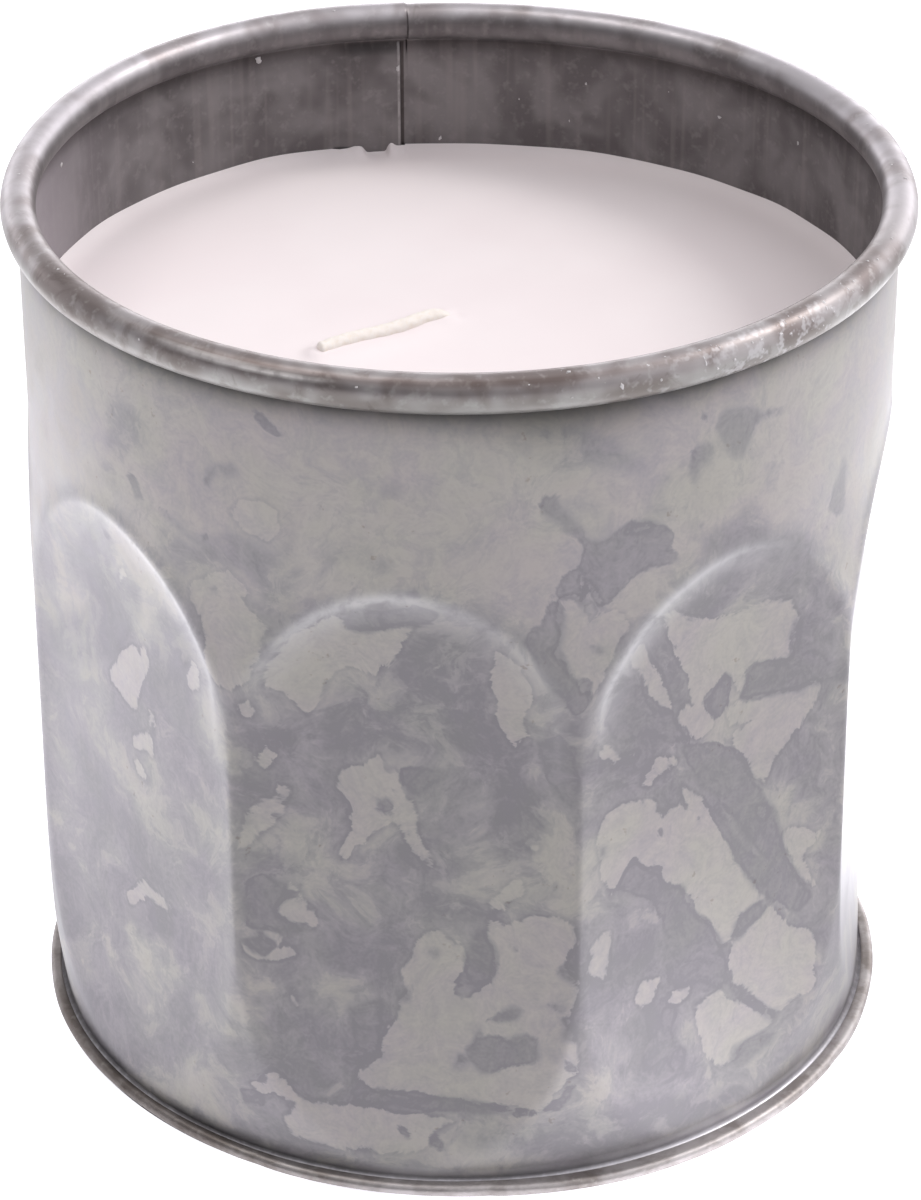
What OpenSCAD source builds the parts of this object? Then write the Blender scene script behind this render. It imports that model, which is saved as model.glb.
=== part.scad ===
// Candle pot: a round pot of zinc-coated sheet, filled with wax, with one wick.
//
// The wall is one strip of sheet, rolled to a cylinder and lapped at the back.
// Its top edge is curled into a hollow bead. Its lower part is pressed into flat
// panels with arched tops, which die out again just above the foot, where the
// edge turns out into a narrow flange. The base is a disc whose edge is folded
// up and over that flange.
//
// Frame: +Z up along the pot's axis, z = 0 on the surface that it stands on.
// The front is towards -Y. Angles around the pot are measured from the front,
// positive towards +X.

/* [Pot] */
// Overall height, from the surface it stands on to the top of the bead
pot_h = 92; // [80:1:110]
// Outside diameter of the plain round upper body
body_d = 86.8; // [80:0.2:96]
// Thickness of the sheet that the wall is rolled from
sheet_t = 0.4; // [0.3:0.05:0.5]
// Outside diameter of the wall at its foot, just above the base
foot_d = 85.4; // [79:0.2:94]

/* [Rim bead] */
// Diameter of the curled bead along the top edge
bead_d = 3.45; // [3:0.05:4]
// Slot left open between the end of the curl and the wall
bead_gap = 0.3; // [0.2:0.05:0.4]

/* [Pressed panels] */
// Number of flat panels around the pot
panel_count = 8; // [8:1:10]
// How far the middle of a panel lies inside the round body
panel_depth = 2.25; // [1.5:0.05:2.4]
// How far the ridges between the panels stand outside the round body
ridge_out = 1.15; // [0.8:0.05:1.2]
// Height of the tops of the arches
arch_top = 68.4; // [64:0.2:70]
// Height at which the arches spring from the ridges
arch_spring = 51; // [46:0.5:54]
// Angle of one ridge from the front
ridge_turn = 15; // [0:1:45]

/* [Side seam] */
// Width of the lap
lap_w = 6.4; // [4:0.2:8]
// Angle of the lap's free inner edge from the front
lap_at = -171.5; // [-176:0.5:-160]

/* [Base] */
// Outside diameter of the folded ring around the base
ring_d = 88.8; // [84:0.2:95]
// Thickness of the base sheet
base_t = 0.45; // [0.4:0.05:0.5]

/* [Candle] */
// Level of the wax above the surface the pot stands on
wax_level = 75; // [60:0.5:80]
// Rise of the wax where it meets the wall
wax_rise = 0.8; // [0.4:0.1:1]
// Diameter of the braided wick
wick_d = 1.7; // [1.2:0.1:2]
// Length of wick that lies bent over on the wax
wick_lying = 15; // [8:0.5:18]
// Diameter of the metal disc that holds the foot of the wick
tab_d = 19; // [12:0.5:24]

/* [Hidden] */
$fn = 96;
eps = 0.01;
body_r = body_d / 2;
foot_r = foot_d / 2;
ring_r = ring_d / 2;
bead_r = bead_d / 2;
bead_c = body_r - 0.12;              // radius of the bead's centre line
bead_z = pot_h - bead_r;             // its height
flat_r = body_r - panel_depth;       // distance of a panel's middle from the axis
ridge_r = body_r + ridge_out;
mid_z = 45;                          // height where the ridges stand out most
flange_r = ring_r - base_t;          // edge of the wall's flange
fillet_r = 0.5;                      // bend between the wall and its flange
foot_z = base_t + sheet_t + fillet_r; // where the bend meets the wall
step = 360 / panel_count;
wick_x = -1.2;                       // where the wick comes out of the wax
wick_y = 2.3;
wick_dir = 204;                      // direction in which it lies, from +X
wick_sink = 0.35;                    // how far its middle lies above the wax
wick_bend = 1.6;                     // radius of the bend where it lies down

// Radius of the revolved body: the plain cylinder above the arches, the ridges
// below them, and in again to the foot.
function body_at(z) =
    z >= arch_top ? body_r :
    z >= arch_spring ? body_r + ridge_out * (0.5 + 0.5 * cos(180 * (z - arch_spring) / (arch_top - arch_spring))) :
    z >= mid_z ? ridge_r :
    foot_r + (ridge_r - foot_r) * (1 - pow((mid_z - z) / (mid_z - foot_z), 3.5));

// Distance of a panel's middle line from the axis: it comes forward to the round
// body at the top of the arch and again at the foot.
function panel_at(z) =
    z >= arch_spring ? flat_r + panel_depth * pow((z - arch_spring) / (arch_top - arch_spring), 2) :
    flat_r + (foot_r + 0.12 - flat_r) * pow((arch_spring - z) / (arch_spring - foot_z), 4.2);

body_zs = concat([for (i = [0 : 9]) foot_z + (mid_z - foot_z) * pow(i / 10, 1.5)],
                 [mid_z],
                 [for (i = [0 : 9]) arch_spring + (arch_top - arch_spring) * i / 10],
                 [arch_top]);
panel_zs = concat([for (i = [0 : 9]) foot_z + (arch_spring - foot_z) * pow(i / 10, 1.5)],
                  [for (i = [0 : 10]) arch_spring + (arch_top + 3 - arch_spring) * i / 10]);

// Solid bounded by the sheet's surface that lies `inset` inside the outer one,
// from `z0` up to `z1`.
module body_solid(inset, z0, z1) {
    intersection() {
        difference() {
            rotate_extrude()
                polygon(concat([[0, foot_z - 2]], [[body_at(foot_z) - inset, foot_z - 2]],
                               [for (z = body_zs) [body_at(z) - inset, z]],
                               [[body_r - inset, bead_z], [0, bead_z]]));
            for (k = [0 : panel_count - 1])
                rotate([0, 0, ridge_turn - 90 + (k + 0.5) * step])
                    panel_cut(inset);
        }
        translate([-60, -60, z0]) cube([120, 120, z1 - z0]);
    }
}

// What one press tool takes off the round body, for a panel that faces +X.
module panel_cut(inset) {
    translate([0, 24, 0]) rotate([90, 0, 0])
        linear_extrude(height = 48)
            polygon(concat([[foot_r + 0.3 - inset, foot_z - 1]],
                           [for (z = panel_zs) [panel_at(z) - inset, z]],
                           [[56, arch_top + 3], [56, foot_z - 1]]));
}

// A wedge from the axis between two angles from the front.
module wedge(a0, a1, z0, z1) {
    translate([0, 0, z0]) linear_extrude(height = z1 - z0)
        polygon([[0, 0], 70 * [sin(a0), -cos(a0)], 70 * [sin(a1), -cos(a1)]]);
}

lap_end = lap_at + lap_w / body_r * 180 / PI;

// The space inside the wall that the sheet's doubled end takes up.
module lap_space() {
    difference() {
        wedge(lap_at, lap_end, foot_z + 0.6, bead_z - bead_r - 0.3);
        body_solid(2 * sheet_t, 0, pot_h);
    }
}

// The sheet's inner end, which lies against the inside of its outer end.
module lap_flap() {
    intersection() {
        body_solid(sheet_t, 0, pot_h);
        lap_space();
    }
}

// Groove outside, where the sheet's outer end butts against the flap's bend.
module lap_groove() {
    difference() {
        rotate([0, 0, lap_end - 0.5])
            translate([-0.14, -body_r - 3, foot_z + 1])
                cube([0.28, 6, bead_z - bead_r - foot_z - 1.6]);
        body_solid(0.15, 0, pot_h);
    }
}

module wall() {
    color([0.66, 0.65, 0.64])
    difference() {
        union() {
            difference() {
                body_solid(0, foot_z, bead_z - bead_r + sheet_t / 2);
                body_solid(sheet_t, 0, pot_h);
            }
            lap_flap();
            // curled bead: the sheet turns inwards, over the top and down outside
            rotate_extrude()
                difference() {
                    translate([bead_c, bead_z]) circle(r = bead_r);
                    translate([bead_c, bead_z]) circle(r = bead_r - sheet_t);
                    translate([body_r, bead_z - bead_r - 1]) square([bead_gap, 2]);
                }
            // foot: the edge bends outwards into the flange
            rotate_extrude()
                difference() {
                    translate([foot_r - sheet_t, base_t]) square([flange_r - foot_r + sheet_t, foot_z - base_t]);
                    translate([foot_r + fillet_r, foot_z]) circle(r = fillet_r);
                    translate([foot_r + fillet_r, base_t + sheet_t]) square([4, 2]);
                    difference() {
                        translate([foot_r - sheet_t - eps, base_t - eps]) square([fillet_r + sheet_t + eps, fillet_r + sheet_t + eps]);
                        translate([foot_r + fillet_r, foot_z]) circle(r = fillet_r + sheet_t);
                    }
                }
        }
        lap_groove();
    }
}

module base() {
    fold_r = base_t + sheet_t / 2;   // outer radius of the fold, seen in section
    color([0.55, 0.53, 0.50])
    union() {
        cylinder(r = ring_r - fold_r, h = base_t);
        rotate_extrude()
            difference() {
                union() {
                    translate([ring_r - fold_r, fold_r]) circle(r = fold_r);
                    translate([foot_r + fillet_r, 0]) square([ring_r - fold_r - foot_r - fillet_r, 2 * fold_r]);
                }
                translate([ring_r - fold_r, fold_r]) circle(r = sheet_t / 2);
                translate([foot_r, base_t]) square([ring_r - fold_r - foot_r, sheet_t]);
                translate([ring_r - fold_r - eps, base_t]) square([flange_r - ring_r + fold_r + 2 * eps, sheet_t]);
            }
    }
}

module wick_path() {
    translate([wick_x, wick_y, base_t])
        cylinder(d = wick_d, h = wax_level + wick_sink - wick_bend - base_t);
    translate([wick_x, wick_y, wax_level + wick_sink - wick_bend])
        rotate([0, 0, wick_dir]) {
            translate([wick_bend, 0, 0]) rotate([90, 0, 0])
                rotate_extrude(angle = 90, start = 90)
                    translate([wick_bend, 0]) circle(d = wick_d);
            translate([wick_bend, 0, wick_bend]) rotate([0, 90, 0])
                cylinder(d = wick_d, h = wick_lying - wick_bend);
        }
}

module wick() {
    color([0.96, 0.94, 0.88]) wick_path();
}

module tab_shape(bore) {
    translate([wick_x, wick_y, base_t])
        difference() {
            union() {
                cylinder(d = tab_d, h = 0.3);
                cylinder(d1 = wick_d + 2.4, d2 = wick_d + 1, h = 1.2);
                cylinder(d = wick_d + 1, h = 6);
            }
            if (bore) translate([0, 0, -1]) cylinder(d = wick_d, h = 9);
        }
}

module wick_sustainer() {
    color([0.78, 0.77, 0.74]) tab_shape(true);
}

module wax() {
    color([0.96, 0.93, 0.92])
    difference() {
        union() {
            body_solid(sheet_t, foot_z, wax_level + wax_rise);
            translate([0, 0, base_t]) cylinder(r = foot_r - sheet_t - 0.05, h = foot_z - base_t);
        }
        // the top is level, and rises to a thin edge along the wall
        rotate_extrude()
            polygon(concat([[0, wax_level]],
                           [for (i = [5 : -1 : 0]) [body_r - sheet_t - 0.1 - 0.9 * i, wax_level + wax_rise * pow(1 - i / 5, 2)]],
                           [[body_r - sheet_t - 0.1, wax_level + wax_rise + 1], [0, wax_level + wax_rise + 1]]));
        lap_space();
        wick_path();
        tab_shape(false);
    }
}

wall();
base();
wax();
wick();
wick_sustainer();
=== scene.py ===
import math
import bpy
import numpy as np
from mathutils import Matrix, Vector
from mathutils.geometry import delaunay_2d_cdt


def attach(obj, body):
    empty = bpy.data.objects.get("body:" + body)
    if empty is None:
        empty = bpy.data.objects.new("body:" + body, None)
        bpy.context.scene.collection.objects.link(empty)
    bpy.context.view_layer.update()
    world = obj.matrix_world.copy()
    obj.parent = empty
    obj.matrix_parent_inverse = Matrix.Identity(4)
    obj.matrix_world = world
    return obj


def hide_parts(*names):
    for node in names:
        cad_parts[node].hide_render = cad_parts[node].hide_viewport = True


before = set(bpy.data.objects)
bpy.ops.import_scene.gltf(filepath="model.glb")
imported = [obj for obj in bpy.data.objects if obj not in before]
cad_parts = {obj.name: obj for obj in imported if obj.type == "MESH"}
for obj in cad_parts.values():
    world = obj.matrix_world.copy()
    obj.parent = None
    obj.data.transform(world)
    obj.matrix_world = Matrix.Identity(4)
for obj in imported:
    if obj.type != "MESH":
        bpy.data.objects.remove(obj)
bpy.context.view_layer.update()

# Everything below is worked out in millimetres and turned into metres when a mesh is made.
# Angles around the pot (phi) are measured from the front (-Y), positive towards +X.
MM = 0.001
SCN = bpy.context.scene

# ------------------------------------------------------------------ sizes, as in the CAD model
BODY_R, SHEET, FOOT_R, FOOT_Z = 43.4, 0.4, 42.7, 1.35
BEAD_R, BEAD_C, BEAD_Z = 1.725, 43.28, 90.275
BEAD_TALL, BEAD_DROP = 1.1275, 0.22     # the curl is a little taller than wide, and hangs down outside
PANELS, TURN = 8, 15.0
FLAT_R, RIDGE_R, MID_Z, SPRING, ARCH = 41.15, 44.55, 45.0, 51.0, 68.4
LAP_AT, LAP_END = -171.5, -163.05
WAX_Z, WAX_RISE = 75.0, 0.8
WICK = (-1.2, 2.3, 204.0, 15.0, 0.85, 0.35, 1.6)   # x, y, direction, lying length, radius, sink, bend
RING_R, BASE_T = 44.4, 0.45
STEP = 2 * math.pi / PANELS


def smooth01(x, a, b):
    t = np.clip((x - a) / (b - a), 0, 1)
    return t * t * (3 - 2 * t)


def smin(a, b, k):
    h = np.clip(k - np.abs(a - b), 0, None) / k
    return np.minimum(a, b) - h * h * k * 0.25


# ------------------------------------------------------------------ camera, at the photograph's viewing angle
CAM_AT = np.array([0.0, -401.6851, 277.2275])
PITCH, YAW, ROLL = math.radians(30.206), math.radians(0.003), math.radians(-0.1455)
FOCAL_PX = 4484.76          # for a picture 921 wide and 1200 high


def camera_axes():
    cy, sy, cp, sp = math.cos(YAW), math.sin(YAW), math.cos(PITCH), math.sin(PITCH)
    fw = np.array([sy * cp, cy * cp, -sp])
    r = np.array([cy, -sy, 0.0])
    up = np.cross(r, fw)
    cr, sr = math.cos(ROLL), math.sin(ROLL)
    return fw, cr * r + sr * up, -sr * r + cr * up


FW, RT, UP = camera_axes()
cam_data = bpy.data.cameras.new("camera")
cam_data.lens = FOCAL_PX / 1200 * 36
cam_data.sensor_width = 36
cam_data.clip_start, cam_data.clip_end = 0.01, 20
cam = bpy.data.objects.new("camera", cam_data)
SCN.collection.objects.link(cam)
m = Matrix.Identity(4)
for i in range(3):
    m[i][0], m[i][1], m[i][2], m[i][3] = RT[i], UP[i], -FW[i], CAM_AT[i] * MM
cam.matrix_world = m
SCN.camera = cam

# ------------------------------------------------------------------ the wall's surface


def body_at(z):
    z = np.asarray(z, float)
    top = BODY_R + (RIDGE_R - BODY_R) * (0.5 + 0.5 * np.cos(math.pi * np.clip((z - SPRING) / (ARCH - SPRING), 0, 1)))
    low = FOOT_R + (RIDGE_R - FOOT_R) * (1 - np.clip((MID_Z - z) / (MID_Z - FOOT_Z), 0, 1) ** 3.5)
    return np.where(z >= SPRING, top, np.where(z >= MID_Z, RIDGE_R, low))


def panel_at(z):
    z = np.asarray(z, float)
    up = FLAT_R + (BODY_R - FLAT_R) * (np.clip(z - SPRING, 0, None) / (ARCH - SPRING)) ** 2
    low = FLAT_R + (FOOT_R + 0.12 - FLAT_R) * (np.clip(SPRING - z, 0, None) / (SPRING - FOOT_Z)) ** 4.2
    return np.where(z >= SPRING, up, low)


CAP = math.radians(21.1)      # the flat of a panel ends this far from its middle; the ridge is between two such edges


def outline_half(z):
    """Half the angle that a panel's flat takes up at height z."""
    z = np.asarray(z, float)
    a = np.arccos(np.clip(panel_at(z) / body_at(z), -1, 1))
    a = np.where(z < 30, CAP, a)
    a = smin(a, np.full_like(a, CAP), math.radians(0.8)) - math.radians(1.3) * smooth01(z, 42, 51) * (1 - smooth01(z, 56, 66))
    return np.where(z >= ARCH, 0.0, a)


def out_of_round(phi, z):
    """The rolled sheet's spring: the rim isn't quite a circle. Dies out towards the foot."""
    p = np.mod(np.asarray(phi, float), 2 * math.pi)
    d = np.degrees(p)
    xs = np.array([0, 15, 30, 45, 60, 75, 90, 105, 120, 135, 150, 165, 178, 187.3, 187.7, 195, 205, 217, 230, 240, 255, 270, 285, 300, 315, 330, 345, 360.])
    ys = np.array([-.04, -.05, -.12, -.2, -.15, -.02, .0, -.12, -.22, -.32, -.58, -.82, -.74, -.54, -.38, .10, .72, 1.02, .95, .68, .25, .03, -.07, -.06, .02, .06, .0, -.04])
    # two passes of averaging take the corners off, except at the lap's edge
    f = sum(np.interp(np.mod(d + o, 360), xs, ys) for o in (-5, -2.5, 0, 2.5, 5)) / 5
    near = np.abs(d - 187.5) < 5.5
    side = np.where(d > 187.5, 1, -1)
    f1 = sum(np.interp(np.where(side > 0, np.maximum(d + o, 187.7), np.minimum(d + o, 187.3)), xs, ys) for o in (-5, -2.5, 0, 2.5, 5)) / 5
    f = np.where(near, f1, f)
    step = smooth01(z, 84, 88.6)
    f_low = sum(np.interp(np.mod(d + o, 360), xs, ys) for o in (-12, -8, -4, 0, 4, 8, 12)) / 7
    f = f * step + f_low * (1 - step)
    return f * smooth01(z, 30, 84)


RNG = np.random.default_rng(11)
WAVES = [(int(RNG.integers(2, 13)), RNG.uniform(0.03, 0.16), RNG.uniform(0, 6.28), RNG.uniform(0, 6.28), RNG.uniform(0.5, 1)) for _ in range(16)]


def waviness(phi, z):
    s = 0.0
    for k, w, p1, p2, a in WAVES:
        s = s + a * np.sin(k * phi + p1) * np.sin(w * z + p2)
    return s * 0.016


def nearest_panel(phi):
    """phi from the middle of the panel that it is in."""
    t = phi - math.radians(TURN) + STEP / 2
    return np.mod(t + STEP / 2, STEP) - STEP / 2


# outline of a panel's flat, unrolled: u across, z up
_z = np.concatenate([np.linspace(FOOT_Z - 3, 60, 120), ARCH - (ARCH - 60) * np.linspace(1, 0, 70)[1:] ** 2])
OUT_U = outline_half(_z) * BODY_R
OUTLINE = np.concatenate([np.stack([-OUT_U, _z], 1), np.stack([OUT_U, _z], 1)[::-1][1:]])
OUT_A, OUT_B = OUTLINE[:-1], OUTLINE[1:]


def outline_distance(u, z):
    """Distance in mm from a panel's outline, positive outside it."""
    u, z = np.abs(np.ravel(u)), np.ravel(z)
    half = len(OUT_A) // 2
    A, B = OUT_A[half:], OUT_B[half:]
    best = np.full(len(u), 1e9)
    for i in range(0, len(u), 20000):
        p = np.stack([u[i:i + 20000], z[i:i + 20000]], 1)[:, None, :]
        ab = (B - A)[None]
        t = np.clip(((p - A) * ab).sum(2) / np.maximum((ab ** 2).sum(2), 1e-12), 0, 1)
        q = A + ab * t[..., None]
        best[i:i + 20000] = np.sqrt(((p - q) ** 2).sum(2)).min(1)
    inside = (u < outline_half(z) * BODY_R) & (z < ARCH)
    return np.where(inside, -best, best)


def corner(a, b, c=0.30):
    """The lesser of two, with a rounded corner that has long tails."""
    return 0.5 * (a + b - np.sqrt((a - b) ** 2 + c * c))


def lip(s, z):
    """The pressed edge of an arch: a low rounded bank just outside it, which dies out down the ridges."""
    h = 0.12 * smooth01(s, -0.60, 0.35) * (1 - smooth01(s, 0.30, 2.3))
    return h * smooth01(z, 50, 59)


def sheet_r(phi, z, s=None, groove=True):
    """Radius of the wall's outer surface."""
    d = nearest_panel(phi)
    R, P = body_at(z), panel_at(z)
    a = P / np.cos(np.clip(d, -0.7, 0.7))
    b = P / np.cos(STEP - np.abs(d))
    t = np.abs(STEP / 2 - np.abs(d)) * BODY_R
    hollow = 0.25 * (t / 4.0) * np.exp(1 - t / 4.0) * smooth01(z, 4, 14) * (1 - smooth01(z, 44, 56))
    rho = smin(R, corner(a, b) - hollow, 0.3)
    if s is None:
        s = outline_distance(d * BODY_R, z).reshape(np.shape(phi))
    rho = rho + lip(s, z) * (1 - 0.6 * np.exp(-((np.degrees(phi) + 65) / 12) ** 2))
    g = (np.degrees(phi) + 163.55 + 180) % 360 - 180
    if groove:
        rho = rho - 0.16 * np.exp(-(g * BODY_R * math.pi / 180 / 0.13) ** 2) * smooth01(z, 1.8, 2.6)
    fade = smooth01(z, FOOT_Z, 6)
    return rho + waviness(phi, z) * fade + out_of_round(phi, z)


# ------------------------------------------------------------------ mesh helpers


def mesh_object(name, verts, faces, attrs=None, smooth=True, sharp=None):
    me = bpy.data.meshes.new(name)
    me.from_pydata((np.asarray(verts, float) * MM).tolist(), [], [list(map(int, f)) for f in faces])
    me.validate()
    me.update()
    if smooth:
        me.shade_smooth()
    if sharp:
        me.set_sharp_from_angle(angle=math.radians(sharp))
    for k, v in (attrs or {}).items():
        at = me.attributes.new(k, "FLOAT", "POINT")
        at.data.foreach_set("value", np.asarray(v, np.float32).ravel())
    o = bpy.data.objects.new(name, me)
    SCN.collection.objects.link(o)
    return o


def cyl(phi, r, z):
    return np.stack([r * np.sin(phi), -r * np.cos(phi), z + 0 * phi], -1)


def grid_faces(rows, n, base=0, close=True):
    """Quads between rings of n points; rows is how many rings."""
    f = []
    for j in range(rows - 1):
        a, b = base + j * n, base + (j + 1) * n
        i = np.arange(n if close else n - 1)
        k = (i + 1) % n
        f.append(np.stack([a + i, a + k, b + k, b + i], 1))
    return np.concatenate(f)


# ------------------------------------------------------------------ columns around the pot
PER = 52
cols = [TURN - 180 + c * 45 + 45 * i / PER for c in range(PANELS) for i in range(PER)]
SEAM = [(-172.1, 0.0), (-171.95, 1.0), (LAP_AT - 0.10, 1.0), (LAP_AT + 0.02, 0.2), (-171.36, -1.0), (LAP_AT + 0.3, -1.0), (-171.05, -0.4), (-170.9, 0.0)]
extra = [a for a, _ in SEAM] + [-163.9, -163.55, -163.2, -172.75, -172.55, -172.35]
cols = [c for c in cols if all(abs((c - e + 180) % 360 - 180) > 0.11 for e in extra) or abs((c - TURN) % 45) < 1e-6]
cols = sorted({round((c + 180) % 360 - 180, 6) for c in cols + extra})
COL = np.radians(np.array(cols))
NC = len(COL)

# ------------------------------------------------------------------ the wall's outer face: one mesh per panel, welded
Z_LOW, Z_TOP = FOOT_Z, 86.8
side_z = np.concatenate([np.arange(0, 12) * 0.5 + Z_LOW, np.linspace(Z_LOW + 6, Z_TOP, 140)])
HALF = STEP / 2 * BODY_R
NEAR_OFF = [-1.5, -0.95, -0.5, -0.2, 0.0, 0.1, 0.21, 0.34, 0.5, 0.75, 1.05, 1.5, 2.1]


def resample(poly, step):
    seg = np.sqrt((np.diff(poly, axis=0) ** 2).sum(1))
    L = np.concatenate([[0], np.cumsum(seg)])
    n = int(L[-1] / step)
    t = np.linspace(0, L[-1], n + 1)
    return np.stack([np.interp(t, L, poly[:, 0]), np.interp(t, L, poly[:, 1])], 1)


def cell_mesh(k, fill, grooves):
    """Points and triangles of panel k, unrolled. The front panels get a finer fill."""
    mid = math.radians(TURN) + (k + 0.5) * STEP
    lo = math.degrees(mid) - 22.5
    mine = [c for c in cols if -1e-4 <= (c - lo + 1e-4) % 360 - 1e-4 <= 45 + 1e-4]
    top_u = np.array(sorted(((c - lo + 1e-5) % 360) for c in mine))
    top_u = np.concatenate([top_u[top_u < 45 - 1e-3], [45.0]]) - 22.5
    top_u = np.radians(top_u) * BODY_R
    top_u[0], top_u[-1] = -HALF, HALF
    loop = [(u, Z_LOW) for u in top_u]
    loop += [(HALF, z) for z in side_z[1:-1]]
    loop += [(u, Z_TOP) for u in top_u[::-1]]
    loop += [(-HALF, z) for z in side_z[1:-1][::-1]]
    loop = np.array(loop)
    pts = [loop]
    edges = [(i, (i + 1) % len(loop)) for i in range(len(loop))]
    n = len(loop)
    line = resample(OUTLINE, 0.52)
    d = np.gradient(line, axis=0)
    d /= np.sqrt((d ** 2).sum(1))[:, None]
    normal = np.stack([-d[:, 1], d[:, 0]], 1)      # to the left of the way up the left side: outside
    for off in NEAR_OFF:
        q = line + normal * off
        ok = (np.abs(q[:, 0]) < HALF - 0.12) & (q[:, 1] > Z_LOW + 0.2) & (q[:, 1] < Z_TOP - 0.3)
        if abs(off) > 0.02:
            sd = outline_distance(q[:, 0], q[:, 1])
            ok &= np.abs(sd - off) < 0.06
        idx = np.where(ok)[0]
        pts.append(q[idx])
        if off == 0:
            for a, b in zip(range(len(idx) - 1), range(1, len(idx))):
                if idx[b] == idx[a] + 1:
                    edges.append((n + a, n + b))
        n += len(idx)
    for g in grooves:
        for w in (-0.26, -0.13, 0, 0.13, 0.26):
            u = (math.radians(g) - mid + math.pi) % (2 * math.pi) - math.pi
            zz = np.arange(Z_LOW + 0.4, Z_TOP - 0.2, 0.6)
            q = np.stack([np.full_like(zz, u * BODY_R + w), zz], 1)
            sd = outline_distance(q[:, 0], q[:, 1])
            q = q[np.abs(sd) > 0.08]
            pts.append(q)
            n += len(q)
    hx = fill
    hy = fill * math.sqrt(3) / 2
    us = np.arange(-HALF, HALF, hx)
    rows = []
    for j, z in enumerate(np.arange(Z_LOW + 0.5, Z_TOP - 0.3, hy)):
        rows.append(np.stack([us + (j % 2) * hx / 2, np.full_like(us, z)], 1))
    q = np.concatenate(rows)
    sd = outline_distance(q[:, 0], q[:, 1])
    ok = (np.abs(q[:, 0]) < HALF - fill * 0.55) & ((sd < -1.5 - fill * 0.5) | (sd > 2.1 + fill * 0.5))
    ok &= (q[:, 1] > Z_LOW + fill * 0.5) & (q[:, 1] < Z_TOP - fill * 0.5)
    for g in grooves:
        u = ((math.radians(g) - mid + math.pi) % (2 * math.pi) - math.pi) * BODY_R
        ok &= np.abs(q[:, 0] - u) > 0.26 + fill * 0.5
    pts.append(q[ok])
    P = np.concatenate(pts)
    out = delaunay_2d_cdt([Vector((float(a), float(b))) for a, b in P], edges, [], 0, 1e-5, False)
    V = np.array([(v[0], v[1]) for v in out[0]])
    F = np.array([list(f) for f in out[2]])
    a, b, c = V[F[:, 0]], V[F[:, 1]], V[F[:, 2]]
    area = (b[:, 0] - a[:, 0]) * (c[:, 1] - a[:, 1]) - (b[:, 1] - a[:, 1]) * (c[:, 0] - a[:, 0])
    F = F[np.abs(area) > 1e-5]
    area = area[np.abs(area) > 1e-5]
    F[area < 0] = F[area < 0][:, ::-1]
    return V, F, mid


tab, tab_s = {}, []
W_phi, W_z, W_f = [], [], []
for k in range(PANELS):
    centre = (TURN + (k + 0.5) * 45 + 180) % 360 - 180
    seen = abs(centre) < 95
    V, F, mid = cell_mesh(k, 0.78 if seen else 1.15, [-163.55] if abs((centre + 163.55 + 180) % 360 - 180) < 22.5 else [])
    s = outline_distance(V[:, 0], V[:, 1])
    ids = []
    for (u, z), sd in zip(V, s):
        ph = (mid + u / BODY_R + math.pi) % (2 * math.pi) - math.pi
        on_edge = abs(abs(u) - HALF) < 1e-3 or abs(z - Z_LOW) < 1e-4 or abs(z - Z_TOP) < 1e-4
        if on_edge:
            key = (round(ph * 1e4) % round(2 * math.pi * 1e4), round(z * 1e3))
            hit = None
            for da in (0, 1, -1):
                for db in (0, 1, -1):
                    hit = tab.get(((key[0] + da) % round(2 * math.pi * 1e4), key[1] + db), hit)
            if hit is not None:
                ids.append(hit)
                continue
            tab[key] = len(W_phi)
        ids.append(len(W_phi))
        W_phi.append(ph)
        W_z.append(z)
        tab_s.append(sd)
    ids = np.array(ids)
    W_f.append(ids[F])
W_phi, W_z, W_s = np.array(W_phi), np.array(W_z), np.array(tab_s)
W_f = np.concatenate(W_f)
W_f = W_f[(W_f[:, 0] != W_f[:, 1]) & (W_f[:, 1] != W_f[:, 2]) & (W_f[:, 0] != W_f[:, 2])]


def find_ring(z):
    """Indices of the welded points at height z, in the order of COL."""
    k = np.where(np.abs(W_z - z) < 1e-4)[0]
    k = k[np.argsort(W_phi[k])]
    got = W_phi[k]
    out = []
    for c in COL:
        d = np.abs((got - c + math.pi) % (2 * math.pi) - math.pi)
        i = int(d.argmin())
        assert d[i] < 1e-3, (z, math.degrees(c), math.degrees(d[i]))
        out.append(k[i])
    return out


low_ring, top_ring = find_ring(Z_LOW), find_ring(Z_TOP)

# ------------------------------------------------------------------ the rest of the wall as rings: curl, inner face, foot
# each ring: (radius at rest, height, what it is). Kinds: w outer wall, t inside of the curl, b bead, i inner face, f foot
rings = []


def add(r, z, kind):
    rings.append((r, z, kind))


for z in (87.1, 87.4, 87.7, 87.95, 88.15, 88.3):
    add(None, z, "w")
ri = BEAD_R - SHEET
a0 = 270 + math.degrees(math.asin((BODY_R - BEAD_C) / ri))
a1 = -math.degrees(math.acos((BODY_R + 0.3 - BEAD_C) / ri))
for a in np.linspace(a0, a1, 15):
    add(BEAD_C + ri * math.cos(math.radians(a)), BEAD_Z + ri * math.sin(math.radians(a)), "t")
b0 = -math.degrees(math.acos((BODY_R + 0.3 - BEAD_C) / BEAD_R))
b1 = 270 - math.degrees(math.asin((BEAD_C - BODY_R + SHEET) / BEAD_R))
for a in np.linspace(b0, b1, 34):
    add(BEAD_C + BEAD_R * math.cos(math.radians(a)), BEAD_Z + BEAD_R * math.sin(math.radians(a)), "b")
for z in (87.95, 87.7, 87.2, 86.4, 85.4, 84.3, 83, 81.6, 80.2, 78.8, 77.6, 76.6, 75.8, 75.0, 74.0):
    add(None, z, "i")
fine_rings = len(rings)


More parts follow.
